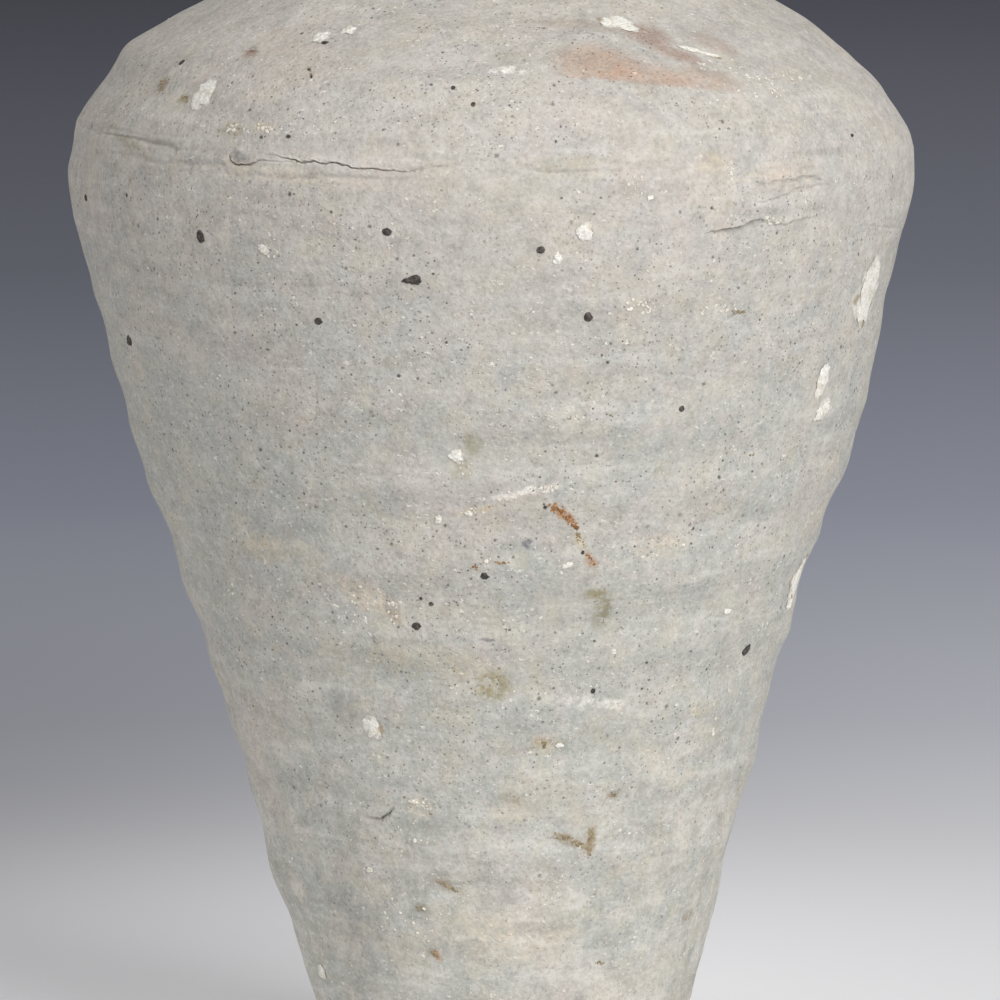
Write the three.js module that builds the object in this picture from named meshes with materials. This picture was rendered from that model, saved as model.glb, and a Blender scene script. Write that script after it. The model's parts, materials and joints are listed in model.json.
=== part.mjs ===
// A mercury storage jar: an unglazed grey stoneware bottle, broad at the shoulder and tapered to a narrow foot,
// with a small thick-lipped mouth and a wooden bung. The potter throws it in three sections, the lower body with
// its foot, the domed shoulder and the mouth, and lutes them together with slip. The bevelled rims of the two
// large sections leave a groove round the outside, and a coil of clay is pressed into that groove.
// Millimetres, +Z up, origin at the centre of the foot's underside.

import * as THREE from "three";

// Sizes of the jar's outside
const FOOT_RADIUS = 27;
const FOOT_BEVEL = 1.5; // the wet edge of the foot, wiped round
const BELLY_RADIUS = 70; // the widest place
const BELLY_HEIGHT = 153;
const TAPER_DROP = 10.5; // how far below the belly the straight taper, carried on, reaches the belly's radius
const TAPER_ROUND = 36; // how far down the taper from that corner it starts to round into the belly
const TURN_RADIUS = 30; // the round turn from belly to crown
const CROWN_SLOPE = THREE.MathUtils.degToRad(22); // the crown's rise towards the mouth

// Sizes of the walls
const WALL = 8;
const FLOOR = 13;
const FLOOR_FILLET = 9; // the round corner between floor and wall, inside

// The luted seam between the lower body and the shoulder
const SEAM_RISE = 5.7; // above the belly
const GROOVE_WIDTH = 5.6; // across the outside, along the wall
const GROOVE_DEPTH = 2.8;
const SLIP = 0.3; // the layer of slip between luted faces

// The mouth, whose walls are measured from the bore at the top of the lip
const BORE_RADIUS = 11.5;
const BORE_TAPER = 0.045; // how much narrower in radius the bore gets for each millimetre down
const BORE_EASE = 1.8; // the rounding of the bore's two edges
const COLLAR_WALL = 8.5; // where the mouth stands on the crown
const NECK_WALL = 5.5;
const NECK_HEIGHT = 4.5;
const LIP_WALL = 10;
const LIP_HEIGHT = 8;
const LIP_LAND = 4.2; // the width of the flat that is wiped on top of the lip

// The bung
const BUNG_DEPTH = 14; // how far it reaches down the bore
const BUNG_STAND = 13; // how far it stands above the lip
const BUNG_CLEARANCE = 0.3;
const BUNG_BEVEL = 1.2;
const BUNG_CROWN = 1.5; // the rise of its domed top

// How finely the round shapes are faceted
const FACETS = 48;
const ARC_STEPS = 6;
const SMALL_STEPS = 3;

const stoneware = new THREE.MeshStandardMaterial({ color: 0xb9b6ae, roughness: 0.92, metalness: 0 });
const lutingClay = new THREE.MeshStandardMaterial({ color: 0xaeaca6, roughness: 0.95, metalness: 0 });
const wood = new THREE.MeshStandardMaterial({ color: 0x8a6a48, roughness: 0.8, metalness: 0 });

const point = (radius, height) => new THREE.Vector2(radius, height);

// The taper runs straight from the foot's edge towards its corner below the belly, and is rounded off there.
const footEdge = point(FOOT_RADIUS, 0);
const taperCorner = point(BELLY_RADIUS, BELLY_HEIGHT - TAPER_DROP);
const taper = taperCorner.clone().sub(footEdge).normalize();

// The turn from belly to crown is an arc about this point, and the seam's faces lie along its radii.
const turnCentre = point(BELLY_RADIUS - TURN_RADIUS, BELLY_HEIGHT);
const seamAngle = Math.asin(SEAM_RISE / TURN_RADIUS);
const crownAngle = Math.PI / 2 - CROWN_SLOPE;
const grooveHalfAngle = GROOVE_WIDTH / 2 / TURN_RADIUS;
const slipAngle = SLIP / TURN_RADIUS;

// The crown runs straight from the end of the turn up to the collar, where the mouth stands on a flat land.
const collarRadius = BORE_RADIUS + COLLAR_WALL;
const crownStart = turnPoint(TURN_RADIUS, crownAngle);
const landHeight = crownStart.y + (crownStart.x - collarRadius) * Math.tan(CROWN_SLOPE);
const mouthBase = landHeight + SLIP;
const lipFoot = mouthBase + NECK_HEIGHT;
const lipTop = lipFoot + LIP_HEIGHT;

function turnPoint(radius, angle) {
  return point(turnCentre.x + radius * Math.cos(angle), turnCentre.y + radius * Math.sin(angle));
}

function turnArc(radius, from, to, steps = ARC_STEPS) {
  return Array.from({ length: steps + 1 }, (_, i) => turnPoint(radius, from + ((to - from) * i) / steps));
}

// A curve from start to end that is drawn towards a corner, without its first point, so that outlines join.
function curve(start, corner, end, steps = ARC_STEPS) {
  return new THREE.QuadraticBezierCurve(start, corner, end).getPoints(steps).slice(1);
}

function alongTaper(start, distance) {
  return start.clone().addScaledVector(taper, distance);
}

function boreRadiusAt(height) {
  return BORE_RADIUS - (lipTop - height) * BORE_TAPER;
}

// A half outline of points is turned round the Z axis into a named solid.
function turned(name, outline, material) {
  const geometry = new THREE.LatheGeometry(outline, FACETS).rotateX(Math.PI / 2);
  const mesh = new THREE.Mesh(geometry, material);
  mesh.name = name;
  return mesh;
}

// An outline that stays clear of the axis is closed on its first point, and turns into a ring.
const closed = (outline) => [...outline, outline[0]];

// The lower body: a floor and a tapered wall, which rounds through the belly to a rim bevelled for the seam.
function lowerBody() {
  const inward = point(-taper.y, taper.x).multiplyScalar(WALL);
  const knee = alongTaper(taperCorner, -TAPER_ROUND);
  const innerKnee = knee.clone().add(inward);
  const belly = turnPoint(TURN_RADIUS, 0);
  const innerBelly = turnPoint(TURN_RADIUS - WALL, 0);
  const innerCorner = alongTaper(innerKnee, (innerBelly.x - innerKnee.x) / taper.x);
  const floorCorner = alongTaper(innerKnee, (FLOOR - innerKnee.y) / taper.y);
  const filletTop = alongTaper(floorCorner, FLOOR_FILLET);
  const filletFoot = point(floorCorner.x - FLOOR_FILLET, FLOOR);
  return turned(
    "lower_body",
    [
      point(0, 0),
      point(FOOT_RADIUS - FOOT_BEVEL, 0),
      alongTaper(footEdge, FOOT_BEVEL),
      knee,
      ...curve(knee, taperCorner, belly),
      turnPoint(TURN_RADIUS, seamAngle - grooveHalfAngle),
      turnPoint(TURN_RADIUS - GROOVE_DEPTH, seamAngle),
      ...turnArc(TURN_RADIUS - WALL, seamAngle, 0, SMALL_STEPS),
      ...curve(innerBelly, innerCorner, innerKnee),
      filletTop,
      ...curve(filletTop, floorCorner, filletFoot),
      point(0, FLOOR),
    ],
    stoneware,
  );
}

// The shoulder: the rest of the turn and the sloped crown, ending in a flat land round the bore.
function shoulder() {
  const inner = TURN_RADIUS - WALL;
  const base = seamAngle + slipAngle;
  const innerCrownStart = turnPoint(inner, crownAngle);
  const rimRadius = boreRadiusAt(landHeight - WALL) + BORE_EASE;
  const rim = point(rimRadius, innerCrownStart.y + (innerCrownStart.x - rimRadius) * Math.tan(CROWN_SLOPE));
  const boreFoot = point(boreRadiusAt(rim.y + BORE_EASE), rim.y + BORE_EASE);
  return turned(
    "shoulder",
    closed([
      turnPoint(TURN_RADIUS - GROOVE_DEPTH, base),
      ...turnArc(TURN_RADIUS, seamAngle + grooveHalfAngle, crownAngle),
      point(collarRadius, landHeight),
      point(boreRadiusAt(landHeight), landHeight),
      boreFoot,
      ...curve(boreFoot, point(boreFoot.x, rim.y), rim, SMALL_STEPS),
      ...turnArc(inner, crownAngle, base),
    ]),
    stoneware,
  );
}

// The luting coil: clay pressed into the groove and scraped flush with the wall.
function lutingCoil() {
  const reach = grooveHalfAngle - 2 * slipAngle;
  return turned(
    "luting_coil",
    closed([
      turnPoint(TURN_RADIUS - GROOVE_DEPTH + 2 * SLIP, seamAngle),
      ...turnArc(TURN_RADIUS, seamAngle - reach, seamAngle + reach, SMALL_STEPS),
    ]),
    lutingClay,
  );
}

// The mouth: a short waisted neck under a thick rolled lip, with a flat wiped on top.
function mouth() {
  const collar = point(collarRadius - SLIP, mouthBase);
  const neck = point(BORE_RADIUS + NECK_WALL, lipFoot);
  const lipSide = point(BORE_RADIUS + LIP_WALL, lipFoot + LIP_HEIGHT / 2);
  const ease = point(BORE_RADIUS + BORE_EASE, lipTop);
  const land = point(ease.x + LIP_LAND, lipTop);
  const boreHead = point(boreRadiusAt(lipTop - BORE_EASE), lipTop - BORE_EASE);
  return turned(
    "mouth",
    closed([
      point(boreRadiusAt(mouthBase), mouthBase),
      collar,
      ...curve(collar, point(neck.x, mouthBase), neck, SMALL_STEPS),
      ...curve(neck, point(lipSide.x, lipFoot), lipSide, SMALL_STEPS),
      ...curve(lipSide, point(lipSide.x, lipTop), land, SMALL_STEPS),
      ease,
      ...curve(ease, point(BORE_RADIUS, lipTop), boreHead, SMALL_STEPS),
    ]),
    stoneware,
  );
}

// The bung: a tapered wooden plug that fits the bore and stands above the lip for a grip.
function bung() {
  const tip = lipTop - BUNG_DEPTH;
  const head = lipTop + BUNG_STAND;
  const radiusAt = (height) => boreRadiusAt(height) - BUNG_CLEARANCE;
  return turned(
    "bung",
    [
      point(0, tip),
      point(radiusAt(tip) - BUNG_BEVEL, tip),
      point(radiusAt(tip + BUNG_BEVEL), tip + BUNG_BEVEL),
      point(radiusAt(head - BUNG_BEVEL), head - BUNG_BEVEL),
      point(radiusAt(head) - BUNG_BEVEL, head),
      point(0, head + BUNG_CROWN),
    ],
    wood,
  );
}

const jar = new THREE.Group();
jar.add(lowerBody(), shoulder(), lutingCoil(), mouth(), bung());

export default jar;
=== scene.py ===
# A mercury storage jar of unglazed grey stoneware, closed with a wooden bung.
# Metres, +Z up, the jar's axis on Z. The side with the open seam faces -Y, where the camera stands.
import json
import math
import random

import bmesh
import bpy
from mathutils import Matrix, Vector, noise
from mathutils.bvhtree import BVHTree

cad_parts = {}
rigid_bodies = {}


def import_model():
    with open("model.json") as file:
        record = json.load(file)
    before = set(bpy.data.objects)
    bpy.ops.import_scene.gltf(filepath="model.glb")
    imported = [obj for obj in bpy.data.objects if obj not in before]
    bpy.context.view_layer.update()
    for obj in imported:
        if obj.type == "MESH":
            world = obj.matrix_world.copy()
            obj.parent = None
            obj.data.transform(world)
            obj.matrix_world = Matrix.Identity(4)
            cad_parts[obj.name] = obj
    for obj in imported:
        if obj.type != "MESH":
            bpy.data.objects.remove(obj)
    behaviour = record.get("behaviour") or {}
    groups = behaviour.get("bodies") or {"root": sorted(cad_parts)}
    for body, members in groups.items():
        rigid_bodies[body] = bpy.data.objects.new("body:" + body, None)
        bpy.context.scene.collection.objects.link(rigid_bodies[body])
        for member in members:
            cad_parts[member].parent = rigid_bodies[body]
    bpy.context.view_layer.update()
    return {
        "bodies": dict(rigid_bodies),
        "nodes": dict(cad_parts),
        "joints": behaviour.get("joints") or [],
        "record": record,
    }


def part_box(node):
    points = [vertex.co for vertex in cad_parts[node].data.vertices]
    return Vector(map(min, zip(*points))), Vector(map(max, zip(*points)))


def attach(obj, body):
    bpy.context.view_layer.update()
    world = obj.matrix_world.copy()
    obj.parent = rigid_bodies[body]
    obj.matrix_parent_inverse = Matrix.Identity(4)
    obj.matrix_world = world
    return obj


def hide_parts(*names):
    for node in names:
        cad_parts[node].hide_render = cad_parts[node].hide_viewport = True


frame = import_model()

MM = 0.001

# Camera
# It stands a little above the jar with a long lens, where the photograph was taken from. Marks on the jar's
# front are placed by where it sees them, in millimetres right of and above the middle of the picture.
CAMERA_DISTANCE = 1.5
CAMERA_RISE = math.radians(7)
PICTURE_WIDTH = 0.1645  # what the picture spans at the jar's axis
SENSOR_WIDTH = 36
AIM = Vector((0.0008, 0, 0.098))

picture_up = Vector((0, math.sin(CAMERA_RISE), math.cos(CAMERA_RISE)))
sight = Vector((0, math.cos(CAMERA_RISE), -math.sin(CAMERA_RISE)))
eye = AIM - CAMERA_DISTANCE * sight
lens = bpy.data.cameras.new("camera")
lens.sensor_width = SENSOR_WIDTH
lens.lens = SENSOR_WIDTH * CAMERA_DISTANCE / PICTURE_WIDTH
camera = bpy.data.objects.new("camera", lens)
camera.location = eye
camera.rotation_euler = (math.pi / 2 - CAMERA_RISE, 0, 0)
bpy.context.collection.objects.link(camera)
bpy.context.scene.camera = camera


def picture_place(point):
    """Where the camera sees a point, in millimetres right of and above the middle of the picture."""
    away = point - eye
    spread = CAMERA_DISTANCE / away.dot(sight) / MM
    return Vector((away.x * spread, away.dot(picture_up) * spread))


# Lower body
# Thrown in thick grey stoneware: a flat floor on a narrow foot, and a wall that opens upwards to the belly.
# The potter's fingers left soft ridges in it, and drying and firing left it uneven and leaning a little.
FOOT_RADIUS = 27 * MM
FOOT_BEVEL = 1.5 * MM
BELLY_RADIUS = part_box("lower_body")[1][0]
BELLY_HEIGHT = 153 * MM
TAPER_DROP = 10.5 * MM  # how far below the belly the straight taper, carried on, reaches the belly's radius
TAPER_ROUND = 36 * MM  # how far down the taper from that corner it starts to round into the belly
TURN_RADIUS = 30 * MM  # the round turn from belly to crown
WALL = 8 * MM
FLOOR = 13 * MM
FLOOR_FILLET = 9 * MM
SEAM_ANGLE = math.asin(5.7 * MM / TURN_RADIUS)  # where the seam lies on the turn
GROOVE_ANGLE = 2.8 * MM / TURN_RADIUS  # half the seam's groove
GROOVE_DEPTH = 2.8 * MM

AROUND = 400  # steps round the axis
SECTORS = 20  # one sector is spun and copied round, because a spin takes the square of its steps in time
SKIN_STEP = 1.15 * MM  # between the rows of the outside
INSIDE_STEP = 5 * MM
EDGE_STEP = 0.4 * MM
MERGED = 0.01 * MM  # the gap up to which points of a turned piece are one
SHARP = math.radians(40)


def at(radius, height):
    """A point of a half outline."""
    return Vector((radius, 0, height))


def on_turn(radius, angle):
    """A point of the turn, whose seam faces lie along its radii."""
    centre = BELLY_RADIUS - TURN_RADIUS
    return at(centre + radius * math.cos(angle), BELLY_HEIGHT + radius * math.sin(angle))


def line(start, end, spacing):
    """Points along a straight line, without its first."""
    steps = max(1, round((end - start).length / spacing))
    return [start.lerp(end, i / steps) for i in range(1, steps + 1)]


def bend(start, corner, end, spacing):
    """Points along a curve that is drawn towards a corner, without its first."""
    steps = max(3, round((end - start).length / spacing))
    shares = [i / steps for i in range(1, steps + 1)]
    return [start.lerp(corner, t).lerp(corner.lerp(end, t), t) for t in shares]


def turn(radius, start, end, spacing):
    """Points along the turn from one angle to another, without its first."""
    steps = max(2, round(abs(end - start) * radius / spacing))
    return [on_turn(radius, start + (end - start) * i / steps) for i in range(1, steps + 1)]


def throw(runs, around=AROUND, ring=False):
    """Turns a half outline round the axis. It is given as runs of points, each marked 1 if it is outer skin.

    Every vertex keeps that mark as its skin, and how far upwards it faces as its tilt.
    """
    bm = bmesh.new()
    skin = bm.verts.layers.float.new("skin")
    tilt = bm.verts.layers.float.new("tilt")
    outline = []
    for points, mark in runs:
        for i, point in enumerate(points):
            run = points[min(i + 1, len(points) - 1)] - points[max(i - 1, 0)]
            vert = bm.verts.new(point)
            vert[skin] = mark
            vert[tilt] = math.atan2(-run.x, run.z)
            outline.append(vert)
    edges = [bm.edges.new(pair) for pair in zip(outline, outline[1:])]
    if ring:
        edges.append(bm.edges.new((outline[-1], outline[0])))
    sector = math.tau / SECTORS
    wheel = {"cent": (0, 0, 0), "axis": (0, 0, 1)}
    bmesh.ops.spin(bm, geom=outline + edges, angle=sector, steps=around // SECTORS, **wheel)
    made = bm.verts[:] + bm.edges[:] + bm.faces[:]
    bmesh.ops.spin(bm, geom=made, angle=math.tau - sector, steps=SECTORS - 1, use_duplicate=True, **wheel)
    bmesh.ops.remove_doubles(bm, verts=bm.verts, dist=MERGED)
    bmesh.ops.recalc_face_normals(bm, faces=bm.faces)
    return bm


# The belly and the foot stand to one side of each other, as the jar leans.
LEAN = [(0, 1.6 * MM), (BELLY_HEIGHT, -0.75 * MM), (181 * MM, -0.9 * MM), (193 * MM, 0)]

# Dents and swellings: degrees from the front to the right, height, half width, half height and rise in mm
UNEVEN = [
    (-88, 169, 42, 6, -2.25),
    (-85, 178, 40, 5, -0.55),
    (-90, 174.5, 22, 2.5, 0.75),
    (-90, 157.5, 26, 4, -0.9),
    (-90, 128, 24, 14, -0.6),
    (-90, 102, 22, 3, 0.5),
    (-90, 94, 22, 4, -0.7),
    (-90, 76, 20, 3, 0.4),
    (-90, 65, 20, 4, 0.8),
    (-90, 52.4, 18, 3, 0.5),
    (-90, 38, 22, 7, 0.95),
    (82, 172, 40, 8, -2.6),
    (86, 164, 26, 3.5, -0.7),
    (90, 140.5, 24, 3.5, -0.7),
    (90, 131, 26, 9, -1.1),
    (92, 107, 20, 5, 0.4),
    (92, 88, 26, 13, -1.1),
    (92, 88.6, 20, 2.5, -0.7),
    (92, 78.8, 20, 2.5, -0.6),
    (92, 68, 24, 7, -0.7),
    (92, 42, 20, 6, -0.8),
    (37, 157, 9, 3.5, -0.7),
    (38, 151.5, 8, 1.6, 0.35),
    (38, 139, 7, 5, -0.35),
    (20, 92, 26, 5, 0.35),
    (30, 84, 26, 3.5, -0.3),
    (-30, 100, 24, 6, -0.3),
    (-45, 66, 18, 7, 0.3),
    (150, 120, 30, 14, -0.8),
    (205, 90, 25, 10, 0.6),
    (180, 168, 34, 9, -1.2),
    (128, 60, 18, 8, -0.5),
]

RIDGE_PITCH = 12.2 * MM
RIDGE_TOP = 118 * MM  # a ridge's crest, at the front
RIDGE_RISE = 0.42 * MM
RIDGE_MIDDLE = 82 * MM  # the height at which the ridges are strongest
RIDGE_REACH = 46 * MM
RIDGE_MEAN = 0.75  # how strong the ridges are on the whole, and how much that changes along them
RIDGE_CHANGE = 0.7
RIDGE_WAVER = 0.16  # of their pitch
WAVER_SIZE = 30 * MM
CHANGE_SIZE = 22 * MM
CHANGE_SHIFT = Vector((7, 0, 3))
# Unevenness all over the skin: its rise and its size in mm, how much flatter than wide it is, and a shift
SKIN_NOISE = [(0.35, 26, 1, 5), (0.24, 10, 2, 0), (0.1, 3.6, 1.5, 0)]
MEAN_RADIUS = BELLY_RADIUS * 0.8
SKIN_LOSS = 0.7 * MM  # how much smaller than its outline the fired wall is all over
TAPER_HOLLOW = 1.1 * MM
HOLLOW_HEIGHT = 64 * MM
HOLLOW_REACH = 24 * MM
CROWN_DROP = 1.7 * MM  # how far the crown sank where it leaves the turn
DROP_HEIGHT = 179 * MM
DROP_REACH = 6 * MM


def lean(height):
    """How far to the right the jar's axis lies at a height."""
    for (low, start), (high, end) in zip(LEAN, LEAN[1:]):
        if height < high:
            return start + (end - start) * (height - low) / (high - low)
    return 0


def swell(distance, reach):
    """A soft hump, 1 at its middle."""
    return math.exp(-((distance / reach) ** 2))


def relief(azimuth, height):
    """How far the skin stands out from its smooth outline."""
    place = Vector((math.cos(azimuth) * MEAN_RADIUS, math.sin(azimuth) * MEAN_RADIUS, height))
    from_front = math.remainder(azimuth + math.pi / 2, math.tau)
    rise = -SKIN_LOSS - TAPER_HOLLOW * swell(height - HOLLOW_HEIGHT, HOLLOW_REACH)
    rise -= CROWN_DROP * swell(height - DROP_HEIGHT, DROP_REACH)
    for degrees, level, half_width, half_height, depth in UNEVEN:
        up = (height - level * MM) / (half_height * MM)
        if abs(up) < 3:
            aside = math.remainder(from_front - math.radians(degrees), math.tau)
            along = aside * MEAN_RADIUS / (half_width * MM)
            rise += depth * MM * math.exp(-up * up - along * along)
    turns = (height - RIDGE_TOP) / RIDGE_PITCH + from_front / math.tau
    turns += RIDGE_WAVER * noise.noise(place / WAVER_SIZE)
    fade = swell(height - RIDGE_MIDDLE, RIDGE_REACH)
    fade *= RIDGE_MEAN + RIDGE_CHANGE * noise.noise(place / CHANGE_SIZE + CHANGE_SHIFT)
    rise += RIDGE_RISE * fade * math.cos(turns * math.tau)
    for height_mm, size, flatness, shift in SKIN_NOISE:
        flattened = Vector((place.x, place.y, place.z * flatness))
        rise += height_mm * MM * noise.noise(flattened / (size * MM) + Vector((0, shift, 0)))
    return rise


def facing_out(azimuth, tilt):
    """The way the skin faces at an azimuth, where it faces upwards by a tilt."""
    level = math.cos(tilt)
    return Vector((level * math.cos(azimuth), level * math.sin(azimuth), math.sin(tilt)))


def settle(bm):
    """Gives a thrown piece its uneven skin and its lean."""
    skin = bm.verts.layers.float["skin"]
    tilt = bm.verts.layers.float["tilt"]
    for vert in bm.verts:
        height = vert.co.z
        if vert[skin]:
            azimuth = math.atan2(vert.co.y, vert.co.x)
            vert.co += facing_out(azimuth, vert[tilt]) * relief(azimuth, height) * vert[skin]
        vert.co.x += lean(height)


def layered(place, layers, base=0):
    """Noise of several sizes added to a base, each given by how strong it is and its size in mm."""
    return sum((strength * noise.noise(place / (size * MM)) for strength, size in layers), base)


def round_path(bm, path, reach):
    """The vertices of the front that the camera sees round a path, each with where it sees them."""
    low_x, high_x = min(x for x, _, _ in path) - reach, max(x for x, _, _ in path) + reach
    low_y, high_y = min(y for _, y, _ in path) - reach, max(y for _, y, _ in path) + reach
    for vert in bm.verts:
        if vert.co.y < 0 and low_x * MM < vert.co.x < high_x * MM:
            spot = picture_place(vert.co)
            if low_x < spot.x < high_x and low_y < spot.y < high_y:
                yield vert, spot


def near_path(spot, path, reach):
    """How far a spot of the picture lies from a path, how far above it, and how strong the path is there."""
    nearest = (reach, 0, 0)
    for (x0, y0, start), (x1, y1, end) in zip(path, path[1:]):
        if min(x0, x1) - reach < spot.x < max(x0, x1) + reach:
            run = Vector((x1 - x0, y1 - y0))
            share = min(1, max(0, (spot - Vector((x0, y0))).dot(run) / run.length_squared))
            gap = spot - Vector((x0, y0)) - run * share
            if gap.length < nearest[0]:
                nearest = (gap.length, gap.y, start + (end - start) * share)
    return nearest


def refine(bm, paths, reach, cuts):
    """Cuts the faces along some paths finer, all at once, so that they can take narrow lines."""
    near = set()
    for path in paths:
        for vert, spot in round_path(bm, path, reach):
            if near_path(spot, path, reach)[0] < reach:
                near.add(vert)
    edges = {edge for vert in near for edge in vert.link_edges if edge.other_vert(vert) in near}
    edges = sorted(edges, key=lambda edge: edge.index)
    bmesh.ops.subdivide_edges(bm, edges=edges, cuts=cuts, use_grid_fill=True)
    bm.edges.index_update()


LINE_WAVER = [(0.35, 1.8), (0.2, 0.6)]  # how far a pressed line wavers and over what length, both in mm


def crease(bm, path, width, depth, lip=0, slope=0):
    """Presses a ragged line into the front, with its sizes in mm.

    The skin can stand out above the line as a lip, and slope into it from below.
    """
    bm.normal_update()
    skin = bm.verts.layers.float["skin"]
    reach = 5 * width + 2 * slope
    moves = []
    for vert, spot in round_path(bm, path, reach):
        if vert[skin] > 0.5:
            spot.y += layered(vert.co, LINE_WAVER)
            gap, above, strength = near_path(spot, path, reach)
            rise = -depth * swell(gap, slope if slope and above < 0 else width)
            if above > 0:
                rise += lip * swell(gap - width, 2 * width)
            moves.append((vert, vert.normal * rise * strength * MM))
    for vert, move in moves:
        vert.co += move


def finish(bm, name, body, material, nodes):
    """Makes a smooth-shaded piece of a mesh, with its material, that stands for the frame's named nodes."""
    bmesh.ops.recalc_face_normals(bm, faces=bm.faces)
    for face in bm.faces:
        face.smooth = True
    for edge in bm.edges:
        edge.smooth = edge.calc_face_angle(0) < SHARP
    for layer in ("skin", "tilt"):
        if layer in bm.verts.layers.float:
            bm.verts.layers.float.remove(bm.verts.layers.float[layer])
    mesh = bpy.data.meshes.new(name)
    bm.to_mesh(mesh)
    bm.free()
    mesh.materials.append(material)
    piece = bpy.data.objects.new(name, mesh)
    bpy.context.collection.objects.link(piece)
    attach(piece, body)
    if nodes:
        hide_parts(*nodes)


class Recipe:
    """Writes a node tree a step at a time. Each step gives back the output that later steps take in."""

    def __init__(self, tree):
        self.tree = tree

    def step(self, kind, settings, inputs, out=0):
        made = self.tree.nodes.new("ShaderNode" + kind)
        for name, value in settings.items():
            setattr(made, name, value)
        for name, value in inputs.items():
            if isinstance(value, bpy.types.NodeSocket):
                self.tree.links.new(value, made.inputs[name])
            else:
                made.inputs[name].default_value = value
        return made.outputs[out]

    def sum(self, first, second, operation="ADD"):
        return self.step("Math", {"operation": operation}, {0: first, 1: second})

    def product(self, first, second):
        return self.sum(first, second, "MULTIPLY")

    def fade(self, value, low, high):
        """0 at low and 1 at high, smooth between."""
        limits = {"Value": value, "From Min": low, "From Max": high}
        return self.step("MapRange", {"interpolation_type": "SMOOTHSTEP"}, limits)

    def stretch(self, place, size):
        """The place in units of a size for each direction."""
        scale = tuple(1 / length for length in size)
        return self.step("Mapping", {}, {"Vector": place, "Scale": scale})

    def patches(self, place, detail=2, roughness=0.5, out="Fac"):
        """Cloudy noise, one unit of place across."""
        values = {"Vector": place, "Scale": 1, "Detail": detail, "Roughness": roughness}
        return self.step("TexNoise", {}, values, out)

    def clouds(self, place, size, detail=2, roughness=0.5):
        return self.patches(self.stretch(place, (size, size, size)), detail, roughness)

    def ragged(self, place, size, reach):
        """The place, shifted a little this way and that, which makes edges ragged."""
        shift = self.patches(self.stretch(place, (size, size, size)), out="Color")
        shift = self.step("VectorMath", {"operation": "SUBTRACT"}, {0: shift, 1: (0.5, 0.5, 0.5)})
        shift = self.step("VectorMath", {"operation": "SCALE"}, {0: shift, "Scale": reach * 2})
        return self.step("VectorMath", {"operation": "ADD"}, {0: place, 1: shift})

    def dots(self, place, spacing, radius, share):
        """Scattered grains, one in each spacing and up to the radius, of which only a share are there."""
        cells = self.tree.nodes.new("ShaderNodeTexVoronoi")
        cells.inputs["Scale"].default_value = 1 / spacing
        self.tree.links.new(place, cells.inputs["Vector"])
        draws = {"Color": cells.outputs["Color"]}
        parts = [self.step("SeparateColor", {}, draws, part) for part in ("Red", "Green", "Blue")]
        chance, luck, strength = parts
        size = self.product(self.sum(self.product(luck, 0.7), 0.3), radius / spacing)
        inside = self.fade(self.sum(cells.outputs["Distance"], size, "DIVIDE"), 1.15, 0.4)
        inside = self.product(inside, self.sum(self.product(strength, 0.7), 0.3))
        return self.product(inside, self.sum(chance, share, "LESS_THAN"))

    def lay(self, mask, under, over, blend="MIX"):
        """Lays one colour over another where the mask is 1."""
        return self.step("Mix", {"data_type": "RGBA", "blend_type": blend}, {0: mask, 6: under, 7: over}, 2)

    def wash(self, tone, value, low, high, strength, over):
        """Lays a colour over a tone, with a strength, where a value has gone from low to high."""
        return self.lay(self.product(self.fade(value, low, high), strength), tone, over)

    def length(self, place):
        return self.step("VectorMath", {"operation": "LENGTH"}, {0: place}, "Value")

    def part(self, place, axis):
        return self.step("SeparateXYZ", {}, {"Vector": place}, axis)

    def paint(self, tone):
        """Gives the material its colour."""
        self.tree.links.new(tone, self.tree.nodes["Principled BSDF"].inputs["Base Color"])

    def coat(self, tone, height, strength, depth):
        """Gives the material its colour and the bump of its grain."""
        self.paint(tone)
        bump = self.step("Bump", {}, {"Height": height, "Strength": strength, "Distance": depth})
        self.tree.links.new(bump, self.tree.nodes["Principled BSDF"].inputs["Normal"])


def colour(red, green, blue):
    """A colour as seen on a screen, 0 to 255, in the linear values that shaders take."""
    shares = [channel / 255 for channel in (red, green, blue)]
    return (*[c / 12.92 if c <= 0.04045 else ((c + 0.055) / 1.055) ** 2.4 for c in shares], 1)


def matt(name, roughness, specular):
    """A new material, with its recipe and its object coordinates."""
    material = bpy.data.materials.new(name)
    material.use_nodes = True
    shader = material.node_tree.nodes["Principled BSDF"]
    shader.inputs["Roughness"].default_value = roughness
    shader.inputs["Specular IOR Level"].default_value = specular
    recipe = Recipe(material.node_tree)
    return material, recipe, recipe.step("TexCoord", {}, {}, "Object")


GREY_CLAY = colour(174, 175, 169)
WARM_CLAY = colour(185, 182, 172)
STRAW_CLAY = colour(197, 188, 164)
PINK_CLAY = colour(201, 186, 177)
PALE_CLAY = colour(221, 218, 210)
DARK_CLAY = colour(136, 133, 126)
IRON_SPECK = colour(58, 53, 50)
PALE_GRIT = colour(230, 226, 216)
SPECK_LIMITS = (20 * MM, 75 * MM)  # the specks thin out below
CROWN_LIMITS = (95 * MM, 165 * MM)  # the upper half caught more of the flame, which warmed its colour
SOILED_LIMITS = (85 * MM, 40 * MM)  # the wall is more stained towards the foot


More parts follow.
